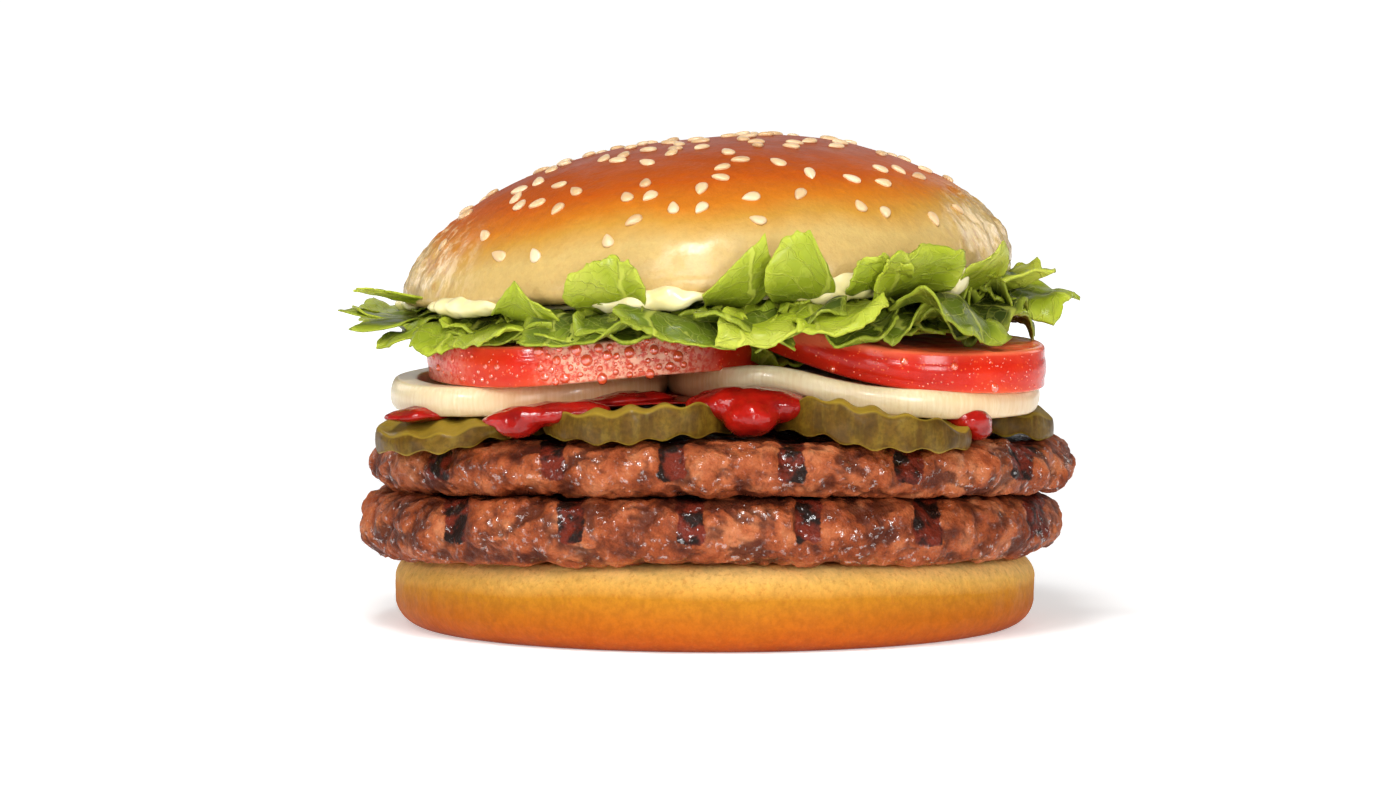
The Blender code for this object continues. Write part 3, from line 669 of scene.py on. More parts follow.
def make_heel():
    top_edge, base_edge = 4.6 * MM, 5.2 * MM
    profile = [(0, HEEL_TOP)]
    profile += arc(HEEL_RADIUS - top_edge, HEEL_TOP - top_edge, top_edge, top_edge, 90, 0, 10)
    profile += arc(HEEL_RADIUS - base_edge, base_edge, base_edge, base_edge, -10, -90, 10)
    profile += [(0, 0)]
    points, faces = turned(densify(profile, 6, 0.6, 0.85 * HEEL_RADIUS), HEEL_STEPS)
    rim = ramp(reach_of(points), 0.7 * HEEL_RADIUS, HEEL_RADIUS)
    raised = ramp(points[:, 2], 0.5 * MM, 6 * MM)
    swell = 1 + 0.010 * rim * raised * lumps(points, 24 * MM, 3)
    swell += 0.0022 * rim * raised * lumps(points, 5 * MM, 4)
    swell += 0.0010 * rim * raised * lumps(points, 1.6 * MM, 5)
    points[:, :2] *= swell[:, None]
    height = points[:, 2] / HEEL_TOP
    add_mesh("heel_bun", settle(points), faces, heel_look(), ["heel"], "crust", {"height": height})


def grill_mark(x, offset):
    """1 in the middle of a grill mark and 0 between them."""
    across = (x - offset + PATTY_GRILL_PITCH / 2) % PATTY_GRILL_PITCH - PATTY_GRILL_PITCH / 2
    return 1 - ramp(abs(across), 0.3 * PATTY_GRILL_WIDTH, 0.75 * PATTY_GRILL_WIDTH)


def make_patty(name, node, layer, centre_x, offset, seed, look):
    """A patty with grill marks, a wavy rim and a crumbly relief on the part of it that shows."""
    low, high = layer
    half = (high - low) / 2
    profile = disc_profile(PATTY_RADIUS, -half, half, PATTY_EDGE, 16)
    points, faces = turned(densify(profile, 5, 0.5, 0.87 * PATTY_RADIUS), PATTY_STEPS)
    x, _, z = points.T
    radius = reach_of(points)
    rim = ramp(radius, 0.84 * PATTY_RADIUS, PATTY_RADIUS)
    bearing = np.column_stack((points[:, :2] / np.maximum(radius, 1e-9)[:, None], np.zeros(len(points))))
    bulge = 1.0 * MM * lumps(bearing * 3.2, 1, seed) + 1.5 * MM * lumps(points, 6 * MM, seed)
    mark = grill_mark(x + centre_x, offset)
    bar = mark * ramp(z, -1 * MM, 2 * MM)
    inward = rim * (bulge - 0.9 * MM * bar)
    dip = (0.35 * MM * abs(lumps(points, 8 * MM, seed + 5)) + 0.5 * MM * bar) * (1 - rim / 2)
    moved = points + bearing * inward[:, None]
    moved[:, 2] -= np.copysign(dip, z) * ramp(abs(z), 0, half)
    shown = ramp(radius, 0.80 * PATTY_RADIUS, 0.90 * PATTY_RADIUS)
    warped = moved * np.array((1, 1, 1.25))
    warped = warped + 1.6 * MM * np.column_stack([lumps(moved, 4 * MM, seed + k) for k in (31, 32, 33)])
    depth = 1.1 * lumps(warped, 5.2 * MM, seed + 6)
    for size, share in CRUMBS:
        depth += share * (2 * abs(lumps(warped, size * MM, seed + size)) - 0.45)
    depth *= 1 - 0.5 * bar
    moved += normals_of(moved, faces) * (depth * CRUMB_DEPTH * shown)[:, None]
    moved += np.array((centre_x, 0, (low + high) / 2))
    char = mark * ramp(z, -3.0 * MM, -0.6 * MM)
    add_mesh(name, settle(moved), faces, look, [node], "beef", {"depth": depth, "char": char})


def placed(points, row, layer):
    """Points of a slice tipped and moved as its row says."""
    x, y, _, lift, tip, nod = (*row, 0, 0, 0)[:6]
    turn = np.array(Euler((math.radians(nod), math.radians(tip), 0)).to_matrix())
    return points @ turn.T + np.array((x, y, (layer[0] + layer[1]) / 2 / MM + lift)) * MM


def make_pickle(index, look):
    """A crinkle-cut slice that hangs over the patty's edge, with its front edge curled up."""
    radius = PICKLES[index][2] * MM
    half = (PICKLE[1] - PICKLE[0]) / 2
    profile = disc_profile(radius, -half, half, 0.5 * MM, 3)
    points, faces = turned(densify(profile, 1.3, 0.6, radius - 2 * MM), PICKLE_STEPS)
    x, _, z = points.T
    chords = round(radius * 4 / PICKLE_PITCH)
    step = (x / (radius * 0.975) + 1) / 2 * chords
    wave = PICKLE_WAVE * (0.5 - 0.5 * np.cos(math.pi * (step + index)))
    share = z / half
    edge = abs(share)
    z *= (half - wave) / half
    side = 1 + 0.012 * lumps(points, 7 * MM, index + 3) + 0.006 * lumps(points, 2.2 * MM, index + 5)
    points[:, :2] *= side[:, None]
    z += 0.10 * MM * lumps(points, 2.5 * MM, index + 7)
    world = settle(placed(points, PICKLES[index], PICKLE))
    world[:, 2] -= DRAPE * ramp(reach_of(world), PATTY_RADIUS - 5 * MM, PATTY_RADIUS + 2 * MM)
    curl = CURL + (PICKLE_3_LIFT if index == 2 else 0)
    world[:, 2] += curl * ramp(-world[:, 1], 46 * MM, 56 * MM) * ramp(share, -0.6, 0.8)
    name = f"pickle_{index + 1}"
    add_mesh(name + "_chip", world, faces, look, [name], "pickle", {"edge": edge})


def make_onion(index, look):
    """A slice with its rings. The first shows the wall of its outer ring, and the second arches up."""
    radius = ONIONS[index][2] * MM
    half = (ONION[1] - ONION[0]) / 2
    if index == 0:
        inner, sunk = radius - ONION_WALL, half - ONION_SUNK
        profile = [(0, sunk), (inner - 0.5 * MM, sunk), (inner, sunk + 0.4 * MM)]
        profile += [(inner + 0.4 * MM, half - 0.5 * MM), (inner + 1.0 * MM, half - 0.05 * MM)]
    else:
        profile = [(0, half - ONION_GROOVE)]
        for share in (0.52, 0.8):
            profile += [(radius * (share - 0.1), half), (radius * share, half - ONION_GROOVE)]
    profile += arc(radius - SLICE_EDGE, 0, SLICE_EDGE, half, 90, -90, 14)
    profile += [(0.55 * radius, -half), (0, -half)]
    points, faces = turned(densify(profile, 3, 0.5, radius - 7 * MM), ONION_STEPS)
    x, y, z = points.T
    rim = ramp(reach_of(points), 0.5 * radius, radius)
    swell = 1 + 0.018 * rim * lumps(points, 14 * MM, index + 11)
    swell += 0.004 * rim * lumps(points, 4 * MM, index + 21)
    arch = np.zeros(len(points))
    if index == 1:
        off = np.degrees(np.arctan2(-x, -y)) - 28
        arch = ONION_ARCH * ramp(rim, 0.5, 1) * (1 - ramp(abs(off), 0, 34))
    points[:, :2] *= swell[:, None]
    z += (0.6 - 0.25 * min(index, 1)) * MM * rim * ramp(z, 0, half)
    z += arch + 0.12 * MM * rim * lumps(points, 6 * MM, index + 31)
    z -= ONION_RIM_DROP * ramp(rim, 0.6, 1) * ramp(-z, 0, half)
    name = f"onion_{index + 1}"
    world = settle(placed(points, ONIONS[index], ONION))
    # Painted reflected light: the peach share grows along X towards the ketchup and tomato, and again at the
    # right end.
    pale, pink = (-48 * MM, -25 * MM) if index == 0 else (10 * MM, -8 * MM)
    blush = 0.18 + 0.70 * ramp(world[:, 0], pale, pink) + 0.25 * ramp(world[:, 0], 30 * MM, 50 * MM)
    add_mesh(name + "_slice", world, faces, look, [name], "onion", {"blush": blush})


def tomato_shape(index):
    """Points and faces of a slice, and where its cut faces and their lips are."""
    radius = TOMATOES[index][2] * MM
    thickness = (TOMATO[1] - TOMATO[0]) * TOMATO_THICKNESS[index]
    half = thickness / 2
    profile = [(0, half)] + arc(radius - SLICE_EDGE, half - 0.5 * MM, 1.0 * MM, 0.5 * MM, 90, 8, 5)
    profile += arc(radius - SLICE_EDGE, 0, SLICE_EDGE, half - 0.5 * MM, 42, -42, 10)
    profile += arc(radius - SLICE_EDGE, -half + 0.5 * MM, 1.0 * MM, 0.5 * MM, -8, -90, 5) + [(0, -half)]
    points, faces = turned(densify(profile, 2, 0.7, 0.9 * radius), TOMATO_STEPS)
    x, y, z = points.T
    angle = np.arctan2(y, x)
    swell = 1 + 0.012 * np.sin(3 * angle + 1.7 * index) - 0.006 * np.cos(5 * angle)
    points[:, :2] *= swell[:, None]
    if index == 1:
        z += TOMATO_RISE * (np.maximum(0, 5 * MM - x) / radius) ** 2
    inside = radius - reach_of(points)
    flat = ramp(inside, 0.9 * MM, 2.0 * MM)
    lip = ramp(abs(z), half - 0.55 * MM, half - 0.1 * MM) * (1 - ramp(inside, 0.9 * MM, 1.6 * MM))
    z += 0.25 * MM * flat * lumps(points, 5 * MM, index + 41)
    z -= 0.3 * MM * ramp(-z, 0, half)
    world = settle(placed(points, TOMATOES[index], (TOMATO[0], TOMATO[0] + thickness)))
    return world, faces, flat, lip


def make_tomato(index, look):
    """A slice, the first one misted at its front, with a painted whitish reflection there. Its surface is
    handed back for the water drops.
    """
    world, faces, flat, lip = tomato_shape(index)
    mist = np.zeros(len(world))
    if index == 0:
        x, front = world[:, 0] / MM, -world[:, 1] / MM
        # Condensation and painted reflection: where the first slice gets its whitish sheen.
        mist = ramp(x, -33, -24) * (1 - ramp(x, -8, 2)) * ramp(front, 25, 40)
        mist += 0.35 * (1 - ramp(x, -47, -41)) * ramp(front, 12, 24)
    name = f"tomato_{index + 1}"
    values = {"face": flat, "mist": mist, "lip": lip}
    add_mesh(name + "_slice", world, faces, look, [name], "tomato", values)
    return BVHTree.FromPolygons(world.tolist(), faces)


def dome():
    """A water drop of radius 1 that sits on the XY plane and goes a little below it."""
    contact = math.radians(DROP_CONTACT)
    wide, sunk = math.sin(contact), math.cos(contact)
    tilts = [math.radians((DROP_CONTACT + 8) * ring / 4) for ring in range(5)]
    profile = [(math.sin(t) / wide, (math.cos(t) - sunk) / wide) for t in tilts]
    return turned(profile + [(0, profile[-1][1])], DROP_STEPS)



def make_drops(slices):
    """Water drops on the front of the tomato slices, none of them over another."""
    draw = random.Random(5)
    shape, shape_faces = dome()
    drops, taken = [], []
    for index, x_low, x_high, small, big, count in DROP_KINDS:
        for _ in range(count):
            x, z = draw.uniform(x_low, x_high), draw.uniform(44, 54)
            size = small + (big - small) * draw.random() ** 1.6
            hit, normal, _, _ = slices[index].ray_cast(Vector((x, -90, z)) * MM, Vector((0, 1, 0)))
            if not hit or abs(normal.z) > 0.35:
                continue
            if any((hit - other).length < 1.02 * (size + width) * MM for other, width in taken):
                continue
            taken.append((hit, size))
            turn = np.array(normal.to_track_quat("Z", "Y").to_matrix())
            stretch = shape * np.array((1, draw.uniform(0.95, 1.12), 1)) * size * MM
            drops.append((stretch @ turn.T + np.array(hit), shape_faces))
    add_mesh("water_drops", *joined(drops), water_look(), [], "tomato")


def sphere(centre, radii, spin=0.0):
    """A dense ellipsoid in millimetres."""
    points, faces = turned([(math.sin(a), math.cos(a)) for a in np.linspace(0, math.pi, 17)], BLOB_STEPS)
    points = points * np.array(radii)
    c, s = math.cos(spin), math.sin(spin)
    points = points @ np.array(((c, s, 0), (-s, c, 0), (0, 0, 1)))
    return (points + np.array(centre)) * MM, faces


def melt(name, blobs, seed, rough, look, nodes):
    """Blobs of sauce run together into one smooth skin with ripples."""
    points, faces = joined(blobs)
    mesh = bpy.data.meshes.new(name)
    mesh.from_pydata(points.tolist(), [], faces)
    obj = linked(name, mesh)
    remesh = obj.modifiers.new("Run together", "REMESH")
    remesh.mode, remesh.voxel_size = "VOXEL", SAUCE_VOXEL
    smooth = obj.modifiers.new("Smooth", "SMOOTH")
    smooth.factor, smooth.iterations = 0.6, 14
    bpy.context.view_layer.update()
    made = bpy.data.meshes.new_from_object(obj.evaluated_get(bpy.context.evaluated_depsgraph_get()))
    obj.modifiers.clear()
    obj.data = made
    made.name = name
    flat, normal = np.zeros((2, len(made.vertices), 3))
    made.vertices.foreach_get("co", flat.ravel())
    made.vertices.foreach_get("normal", normal.ravel())
    ripple = rough * (lumps(flat, 4.5 * MM, seed) + 0.4 * lumps(flat, 2 * MM, seed + 1))
    world = settle(flat + normal * ripple[:, None])
    made.vertices.foreach_set("co", world.ravel())
    made.materials.append(look)
    made.shade_smooth()
    dress(obj, nodes)


def film(name, radius, layer, wave, seed, look, nodes, slot):
    """A thin layer of sauce with an uneven outline."""
    profile = disc_profile(radius, *layer, 0.3 * MM, 2)
    points, faces = turned(densify(profile, 4), LAYER_STEPS)
    bearing = points * np.array((1, 1, 0)) / radius
    swell = [1 + wave * noise.noise(Vector(b) * 2.6 + Vector((seed, seed, seed))) for b in bearing]
    points[:, :2] *= np.array(swell)[:, None]
    add_mesh(name, settle(points), faces, look, nodes, slot)


def make_sauces():
    red, cream = ketchup_look(), mayo_look()
    film("ketchup_film", KETCHUP_RADIUS, KETCHUP, 0.10, 4.2, red, ["ketchup"], "ketchup")
    blobs = [sphere(centre, radii) for centre, radii in KETCHUP_RUNS + KETCHUP_INSIDE]
    melt("ketchup_runs", blobs, 3, 0.45 * MM, red, ["ketchup"])
    film("mayo_film", 49.5 * MM, MAYO, 0.05, 8.4, cream, ["mayo"], "mayo")
    lobes = []
    draw = random.Random(4)
    for bearing, reach, radii in MAYO_LOBES:
        for step in range(15):
            share = (step - 7) / 6
            angle = math.radians(bearing) + share * radii[0] / reach
            size = (1 - 0.55 * share**2) * draw.uniform(0.6, 1.1)
            out, height = reach + draw.uniform(-1.2, 0.4), 59.8 + draw.uniform(-0.4, 0.6)
            centre = (out * math.sin(angle) - 1.4, -out * math.cos(angle), height)
            lobes.append(sphere(centre, (3.3, radii[1] * size, radii[2] * size * 1.1), angle))
    melt("mayo_lobes", lobes, 6, 0.4 * MM, cream, ["mayo"])


def make_crown():
    """The domed top half, uneven and wrinkled at its two ends. Its surface is handed back for the seeds."""
    rise = CROWN_TOP - CROWN_WIDEST
    profile = []
    for degrees in np.linspace(0, 90, 80):
        angle = math.radians(degrees)
        reach = CROWN_RADIUS * math.sin(angle) ** (2 / 2.33)
        profile.append((reach, CROWN_WIDEST + rise * max(0.0, math.cos(angle)) ** (2 / 1.7)))
    edge = CROWN_WIDEST - CROWN_BASE
    profile += arc(CROWN_RADIUS - 1.6 * edge, CROWN_WIDEST, 1.6 * edge, edge, -10, -90, 8)
    profile += [(0.7 * CROWN_RADIUS, CROWN_BASE), (0, CROWN_BASE)]
    points, faces = turned(densify(profile, 2, 1.2, 0.75 * CROWN_RADIUS), CROWN_STEPS)
    x, _, z = points.T
    raised = ramp(z, CROWN_BASE, CROWN_BASE + 4 * MM)
    swell = 1 + 0.016 * raised * lumps(points, 26 * MM, 6)
    lift = 0.5 * MM * raised * lumps(points, 19 * MM, 9)
    height = (z - CROWN_BASE) / (CROWN_TOP - CROWN_BASE)
    ends = ramp(abs(x), 38 * MM, 50 * MM) * ramp(height, 0.02, 0.2) * (1 - ramp(height, 0.55, 0.8))
    creased = lumps(points * np.array((1, 1, 0.3)), 2.6 * MM, 14) + 0.5 * lumps(points, 1.3 * MM, 15)
    dimple = 0.10 * MM * raised * lumps(points, 5 * MM, 12)
    points *= np.column_stack((swell, swell, np.ones(len(points))))
    z += lift
    points += normals_of(points, faces) * (dimple + 0.55 * MM * ends * creased)[:, None]
    x += CROWN_CENTRE_X
    tilt = 0.13 * ramp(-x, 14 * MM, 40 * MM) + 0.04 * ramp(x, 4 * MM, 40 * MM)
    height = height + tilt + 0.16 * ends * lumps(points, 7 * MM, 17)
    world = settle(points)
    add_mesh("crown_bun", world, faces, crown_look(), ["crown"], "crust", {"height": height, "ends": ends})
    return BVHTree.FromPolygons(world.tolist(), faces)


def seed_spots():
    """Where the seeds of the solid are and how they are turned, by the same rule as there."""
    draw = random.Random(27)
    spots = []
    while len(spots) < SEED_COUNT:
        bearing = draw.uniform(0, math.tau)
        share = math.sqrt(draw.uniform(0.001, 0.93))
        turn = draw.uniform(0, math.pi)
        if draw.random() > 1 - 0.72 * float(ramp(share, 0.45, 0.95)):
            continue
        reach = share * CROWN_RADIUS
        here = Vector((reach * math.cos(bearing), reach * math.sin(bearing)))
        if all((here - other).length > 1.2 * SEED_LENGTH for other, _ in spots):
            spots.append((here, turn))
    return spots


def seed_shape():
    """A flat pointed seed of length, width and height 1, blunt at one end."""
    points, faces = turned([(math.sin(a), math.cos(a)) for a in np.linspace(0, math.pi, 10)], SEED_STEPS)
    along, y, z = points.T
    pinch = (1 - 0.42 * along) * (1 - 0.25 * ramp(along, 0.5, 1.0))
    y *= pinch
    z[:] = np.sign(z) * abs(z) ** 0.8
    return points / 2, faces


def make_seeds(surface):
    """The seeds of the solid and some more, each lying on the crown."""
    shape, shape_faces = seed_shape()
    draw = random.Random(8)
    spots = seed_spots()
    while len(spots) < SEED_COUNT + EXTRA_SEEDS:
        front = len(spots) % 3 == 0
        bearing = math.radians(draw.uniform(-160, -20) if front else draw.uniform(-200, 60))
        reach = CROWN_RADIUS * (draw.uniform(0.72, 0.95) if front else draw.uniform(0.15, 0.8))
        here = Vector((reach * math.cos(bearing), reach * math.sin(bearing)))
        if all((here - other).length > 1.1 * SEED_LENGTH for other, _ in spots):
            spots.append((here, draw.uniform(0, math.pi)))
    seeds, tones = [], []
    for spot, turn in spots:
        above = Vector((spot.x + CROWN_CENTRE_X, spot.y, 0.12))
        hit, normal, _, _ = surface.ray_cast(above, Vector((0, 0, -1)))
        if not hit:
            continue
        stretch = [draw.uniform(0.98, 1.16) for _ in range(3)]
        size = np.array((SEED_LENGTH, SEED_WIDTH, SEED_HEIGHT)) * stretch
        lean = Euler((draw.uniform(-0.15, 0.15), draw.uniform(-0.15, 0.15), turn))
        upright = normal.to_track_quat("Z", "X") @ lean.to_quaternion()
        lying = (shape * size) @ np.array(upright.to_matrix()).T
        seeds.append((lying + np.array(hit + normal * 0.12 * SEED_HEIGHT), shape_faces))
        tones += [draw.uniform(0.15, 0.75)] * len(shape)
    add_mesh("sesame_seeds", *joined(seeds), seed_look(), [], "crust", {"tone": tones})


def leaf_point(leaf, along, across):
    """Points of a torn leaf piece and the way out of its face: along is 0 at its root and 1 at its tip."""
    bearing, root, bend, tip, width, twist, ruffle = leaf
    back, both, ahead = (1 - along) ** 2, 2 * along * (1 - along), along**2
    reach = back * root[0] + both * bend[0] + ahead * tip[0]
    height = back * root[1] + both * bend[1] + ahead * tip[1]
    run = (1 - along) * (bend[0] - root[0]) + along * (tip[0] - bend[0])
    rise = (1 - along) * (bend[1] - root[1]) + along * (tip[1] - bend[1])
    slope = np.hypot(run, rise)
    zero = np.zeros_like(along)
    over = np.stack((-rise / slope, zero, run / slope), -1)
    turn = math.radians(twist) * along
    side = np.stack((zero, np.cos(turn), zero), -1) + over * np.sin(turn)[..., None]
    half = width / 2 * (0.45 + 0.65 * ramp(along, 0, 0.6))
    lift = ruffle * np.sin(2.2 * across + 5.1 * along + bearing) * (0.25 + 0.75 * abs(across))
    local = np.stack((reach, zero, height), -1) + side * (half * across)[..., None]
    local = local + over * (lift * ramp(along, 0, 0.5))[..., None]
    points = np.stack((*around(bearing, local[..., 0], local[..., 1]), local[..., 2]), -1) * MM
    return points, np.stack((*around(bearing, over[..., 0], 0), over[..., 2]), -1)


def all_leaves():
    """The leaf pieces that show, and those behind by the rule of the solid."""
    draw = random.Random(11)
    leaves = list(LEAVES_SEEN)
    for index in range(LEAVES_BEHIND):
        step = (BEHIND_TO - BEHIND_FROM) / (LEAVES_BEHIND - 1)
        bearing = BEHIND_FROM + step * index + draw.uniform(-3, 3)
        width = draw.uniform(13, 22)
        kind = index % 3
        if kind == 0:
            bend, tip = (60.5, 57.5), (58.5, draw.uniform(64, 68))
        elif kind == 1:
            bend, tip = (58, 57.5), (draw.uniform(62, 66), draw.uniform(54.5, 57))
        else:
            bend, tip = (57, 56.5), (draw.uniform(62, 67), draw.uniform(58, 61))
        leaves.append((bearing, bend, tip, width, draw.uniform(-18, 18), 1.2))
    return [(bearing, LEAF_ROOT, *form) for bearing, *form in leaves]



def sheet_grid(rows, columns):
    """Shares along a sheet, 0 to 1, and across it, -1 to 1."""
    return np.meshgrid(np.linspace(0, 1, rows), np.linspace(-1, 1, columns), indexing="ij")


def sheet_noise(u, v, layer, seed):
    flat = np.stack((u, v, np.full_like(u, layer)), -1).reshape(-1, 3)
    return lumps(flat, 1, seed).reshape(u.shape)


def torn_outline(u, v, seed, tips=None, broad=0.0):
    """Shares that give a leaf piece straight torn sides, corners and a ragged rim."""
    draw = random.Random(seed)
    sides = []
    for _ in range(2):
        knots = [draw.uniform(low, high) + more * broad for low, high, more in LEAF_SIDES]
        sides.append(np.interp(u, (0, 0.4, 0.75, 1.0), knots))
    if tips is None:
        peak = draw.uniform(-0.5, 0.5)
        low = 0.66 + 0.16 * broad
        reach = np.interp(v, (-1, peak, 1), (draw.uniform(low, 0.98), 1.04, draw.uniform(low, 0.98)))
    else:
        reach = np.interp(v, (-1, -0.5, 0, 0.5, 1), tips)
    ragged = sheet_noise(u * 5, v * 3, seed, 0.3)
    fine = sheet_noise(u * 20, v * 12, 4 * seed, 0.6)
    rough = 1.0 if tips is None else 0.4
    tear = 1 - rough * (0.13 * abs(ragged) + 0.035 * abs(fine))
    return u * reach * (1 - (1 - tear) * ramp(u, 0.5, 1)), v * np.where(v < 0, *sides) * tear


def grid_faces(rows, columns):
    """Faces of both sides and the rim of a thin sheet whose far side follows its near side."""
    near = [(i * columns + j, i * columns + j + 1) for i in range(rows - 1) for j in range(columns - 1)]
    near = [(a, b, b + columns, a + columns) for a, b in near]
    count = rows * columns
    loop = list(range(columns)) + [i * columns + columns - 1 for i in range(1, rows)]
    loop += [(rows - 1) * columns + j for j in range(columns - 2, -1, -1)]
    loop += [i * columns for i in range(rows - 2, 0, -1)]
    rim = [(a, a + count, b + count, b) for a, b in zip(loop, loop[1:] + loop[:1])]
    return near, near + [tuple(count + i for i in reversed(face)) for face in near] + rim


def thick_sheet(points, u, v, length, width, seed, tone):
    """A leaf piece with its thickness: points, faces and the values for its material."""
    near, faces = grid_faces(*u.shape)
    grid = points.reshape(-1, 3)
    half = normals_of(grid, near) * LEAF_HALF_THICKNESS
    place = np.stack((u * length, (v + 0.5 * math.sin(seed)) * width, np.full_like(u, seed)), -1)
    rim = np.maximum(ramp(abs(v), 0.80, 1.0), ramp(u, 0.88, 1.0))
    # Painted shade: the tone runs darker towards the root, deep in the heap, and lighter towards the tip.
    values = {
        "leaf": np.tile(place.reshape(-1, 3), (2, 1)),
        "rim": np.tile(rim.ravel(), 2),
        "tone": np.tile(tone + 0.30 * (u.ravel() - 0.65), 2),
    }
    return settle(np.concatenate((grid + half, grid - half))), faces, values


def leaf_sheet(leaf, seed, tone, tips, size=LEAF_GRID):
    """A real leaf piece on the form of its solid: torn outline, frill and blisters."""
    u, v = sheet_grid(*size)
    along, across = torn_outline(u, v, seed, tips, 0.0 if tips else 1.0)
    along = along * (HANGING_SHARE if leaf[3][1] < 54 else 1)
    points, out = leaf_point(leaf, along, across)
    frill = sheet_noise(u * 2.6, v * 1.1, seed, seed + 5)
    fine = sheet_noise(u * 9, v * 3, seed, seed + 6)
    edge = np.maximum(abs(v), ramp(u, 0.6, 1)) ** 2
    amount = leaf[6] * (2.0 * frill + 0.2 * fine) * (0.35 + 0.65 * edge) * ramp(u, 0.1, 0.5)
    nearest, next_ = cells(points.reshape(-1, 3), 5.5 * MM, seed)
    blister = np.minimum(1, 2.4 * (next_ - nearest)).reshape(u.shape)
    amount = amount + 0.20 * blister * ramp(u, 0.1, 0.5)
    points = points + out * (amount * MM)[..., None]
    return thick_sheet(points, u, v, 0.022, leaf[4] / 2 * MM, seed, tone)


def scrap_sheet(draw, bearing, inner=42.5, middle=56.9):
    """A crumpled scrap of leaf inside the heap, between the tomato and the crown."""
    u, v = sheet_grid(*SCRAP_GRID)
    seed = draw.uniform(1, 90)
    along, across = torn_outline(u, v, seed)
    length, width = draw.uniform(9, 15), draw.uniform(5, 9)
    tilt, roll = draw.uniform(-0.45, 0.45), draw.uniform(-0.35, 0.35)
    start, height = inner + draw.uniform(-1.5, 1.5), middle + draw.uniform(-1.6, 1.6)
    curl = draw.uniform(-3.2, 3.2)
    fold = sheet_noise(u * 3.4, v * 1.8, seed, seed)
    fine = sheet_noise(3 * (u * 3.4), 3 * (v * 1.8), 3 * seed, seed)
    reach = start + along * length * math.cos(tilt)
    rise = height + along * length * math.sin(tilt) + curl * along**2 * (1 - 0.6 * across)
    rise = rise + width * across * math.sin(roll) + 3.4 * fold + 1.0 * fine
    rise = middle + 2.9 * np.tanh((rise - middle) / 2.9)
    points = np.stack((*around(bearing, reach, across * width), rise), -1) * MM
    # The scrap's tone is partly random and partly painted shade: it runs lower than the pieces that show, for
    # the shade in the gaps.
    return thick_sheet(points, u, v, length * MM, width * MM, seed, draw.uniform(-0.12, 0.30))


def add_sheets(name, sheets, look):
    points, faces = joined([sheet[:2] for sheet in sheets])
    values = {key: np.concatenate([sheet[2][key] for sheet in sheets]) for key in sheets[0][2]}
    add_mesh(name, points, faces, look, ["lettuce"], "lettuce", values)


def make_lettuce(look):
    """The heap: pieces that show, pieces tucked under them, scraps in the gaps and a core."""
    draw = random.Random(3)
    leaves = []
    for index, leaf in enumerate(all_leaves()):
        upright = leaf[3][1] > 62
        tone = draw.uniform(0.26, 0.44) if upright else draw.uniform(0.02, 0.46)
        leaves.append(leaf_sheet(leaf, 1.7 + 3.1 * index, tone, LEAF_TIPS.get(index)))
    for bearing in range(-72, 80, 11):
        bend, tip = (55, draw.uniform(55.5, 57)), (draw.uniform(56.5, 59), draw.uniform(52.8, 55.5))
        leaf = (bearing, TUCKED_ROOT, bend, tip, draw.uniform(12, 19), draw.uniform(-16, 16), 1.5)
        # Painted shade: the tucked pieces get low tones so they read darker, as shade under the pieces that
        # show.
        leaves.append(leaf_sheet(leaf, 2.3 + bearing, draw.uniform(-0.16, 0.16), None, TUCKED_GRID))
    add_sheets("lettuce_leaves", leaves, look)
    scraps = [scrap_sheet(draw, bearing) for bearing in np.linspace(-180, 176, 90)]
    scraps += [scrap_sheet(draw, bearing, 6, 51) for bearing in np.linspace(-180, 150, 12)]
    scraps += [scrap_sheet(draw, bearing, 24, 49.8) for bearing in (4, 12, 20, 28)]
    add_sheets("lettuce_shreds", scraps, look)
    profile = disc_profile(CORE_RADIUS, *LETTUCE_CORE, 0.6 * MM, 2)
    core, faces = turned(densify(profile, 2.4), LAYER_STEPS)
    core[:, 2] += 0.5 * MM * lumps(core, 6 * MM, 3)
    core[:, :2] *= (1 + 0.03 * lumps(core, 9 * MM, 2))[:, None]
    # Painted shade: the core has a dark tone so the gaps in the heap read as shadow.
    values = {"leaf": core, "rim": np.zeros(len(core)), "tone": np.full(len(core), -0.1)}
    add_mesh("lettuce_core", settle(core), faces, look, ["lettuce"], "lettuce", values)


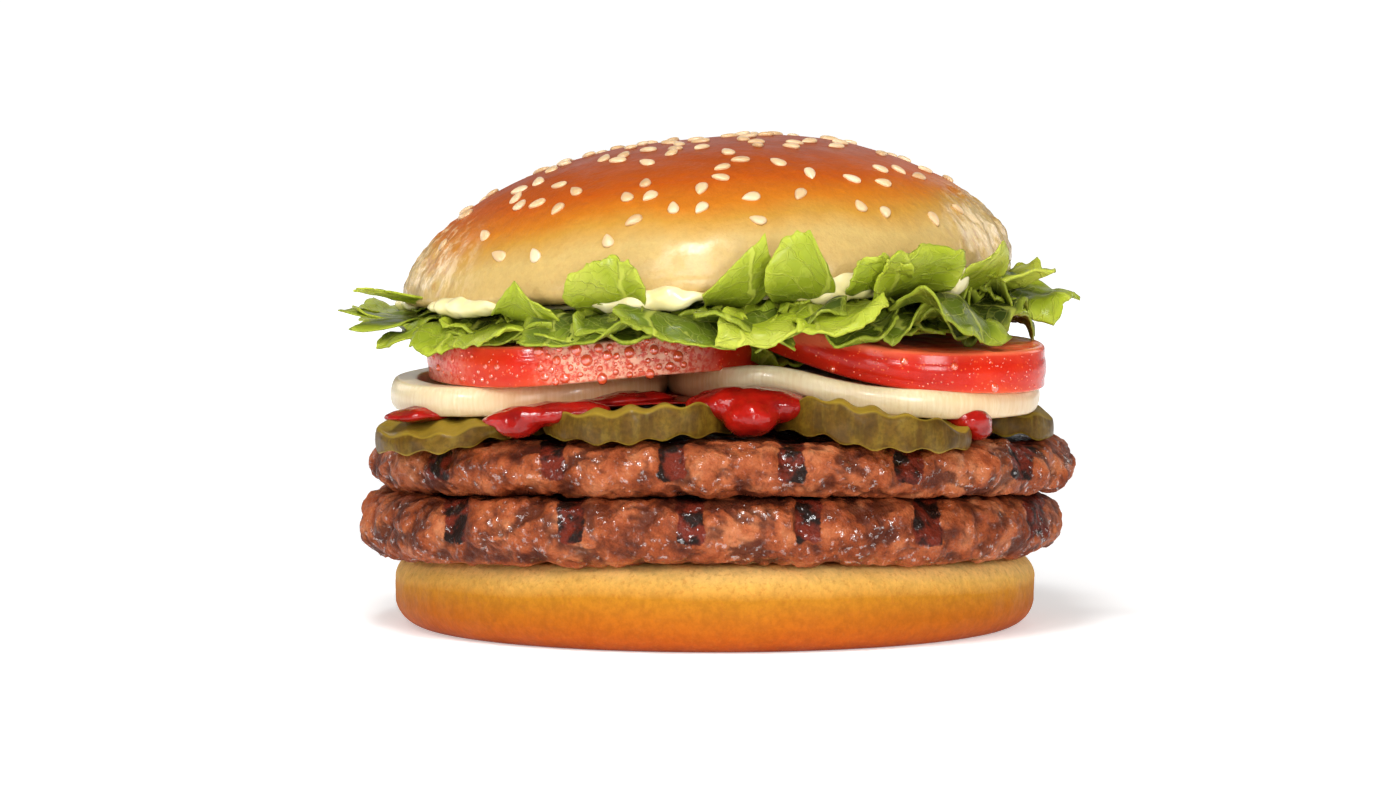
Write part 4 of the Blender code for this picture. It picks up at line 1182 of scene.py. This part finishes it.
def make_floor():
    """A pale floor that stays bright far away."""
    look = Look("studio_floor", Roughness=0.8, Specular_IOR_Level=0.1)
    colour = look.mix(look.noise(0.4, 2), (0.90, 0.90, 0.90), (0.92, 0.92, 0.92))
    away = look.node("VectorMath", {0: look.place()}, out="Value", operation="LENGTH")
    glow = look.fit(away, 0.12, 1.2, 0.38, 0.95)
    material = look.finish(Base_Color=colour, Emission_Color=(1.0, 1.0, 1.0), Emission_Strength=glow)
    mesh = bpy.data.meshes.new("floor")
    mesh.from_pydata([(-12, -12, 0), (12, -12, 0), (12, 12, 0), (-12, 12, 0)], [], [(0, 1, 2, 3)])
    mesh.materials.append(material)
    linked("floor", mesh)


def make_sky():
    """A dim white sky that is brighter at the horizon."""
    world = bpy.data.worlds.new("studio")
    sky = Nodes(world)
    height = sky.node("SeparateXYZ", {0: sky.node("TexCoord", out="Generated")}, out="Z")
    limits = {"From Min": 0.02, "From Max": 0.25, "To Min": 0.34, "To Max": 0.12}
    background = sky.tree.nodes["Background"]
    sky.put(background.inputs["Strength"], sky.node("MapRange", {"Value": height, **limits}))
    background.inputs["Color"].default_value = (1, 1, 1, 1)
    bpy.context.scene.world = world
    bpy.context.scene.view_settings.view_transform = "Standard"


def make_lights():
    for name, place, size, power, colour in LIGHTS:
        data = bpy.data.lights.new(name, "AREA")
        data.energy, data.size, data.color = power, size, colour
        light = linked(name, data)
        light.location = place
        light.rotation_euler = (LIT_POINT - Vector(place)).to_track_quat("-Z", "Y").to_euler()


def make_camera():
    data = bpy.data.cameras.new("camera")
    data.lens, data.sensor_width = 187.5, 36
    data.clip_start, data.clip_end = 0.05, 30
    camera = linked("camera", data)
    back = Vector((0, -math.cos(CAMERA_RISE), math.sin(CAMERA_RISE)))
    camera.location = CAMERA_TARGET + back * CAMERA_DISTANCE
    camera.rotation_euler = (-back).to_track_quat("-Z", "Y").to_euler()
    bpy.context.scene.camera = camera


def main():
    make_heel()
    beef = beef_look()
    make_patty("patty_lower_beef", "patty_lower", PATTY_LOWER, -1.3 * MM, -4.4 * MM, 2, beef)
    make_patty("patty_upper_beef", "patty_upper", PATTY_UPPER, 1.3 * MM, -7.5 * MM, 14, beef)
    brine = pickle_look()
    for index in range(len(PICKLES)):
        make_pickle(index, brine)
    white = onion_look()
    for index in range(len(ONIONS)):
        make_onion(index, white)
    flesh = tomato_look()
    make_drops([make_tomato(index, flesh) for index in range(len(TOMATOES))])
    make_sauces()
    make_lettuce(leaf_look())
    make_seeds(make_crown())
    make_floor()
    make_sky()
    make_lights()
    make_camera()


main()
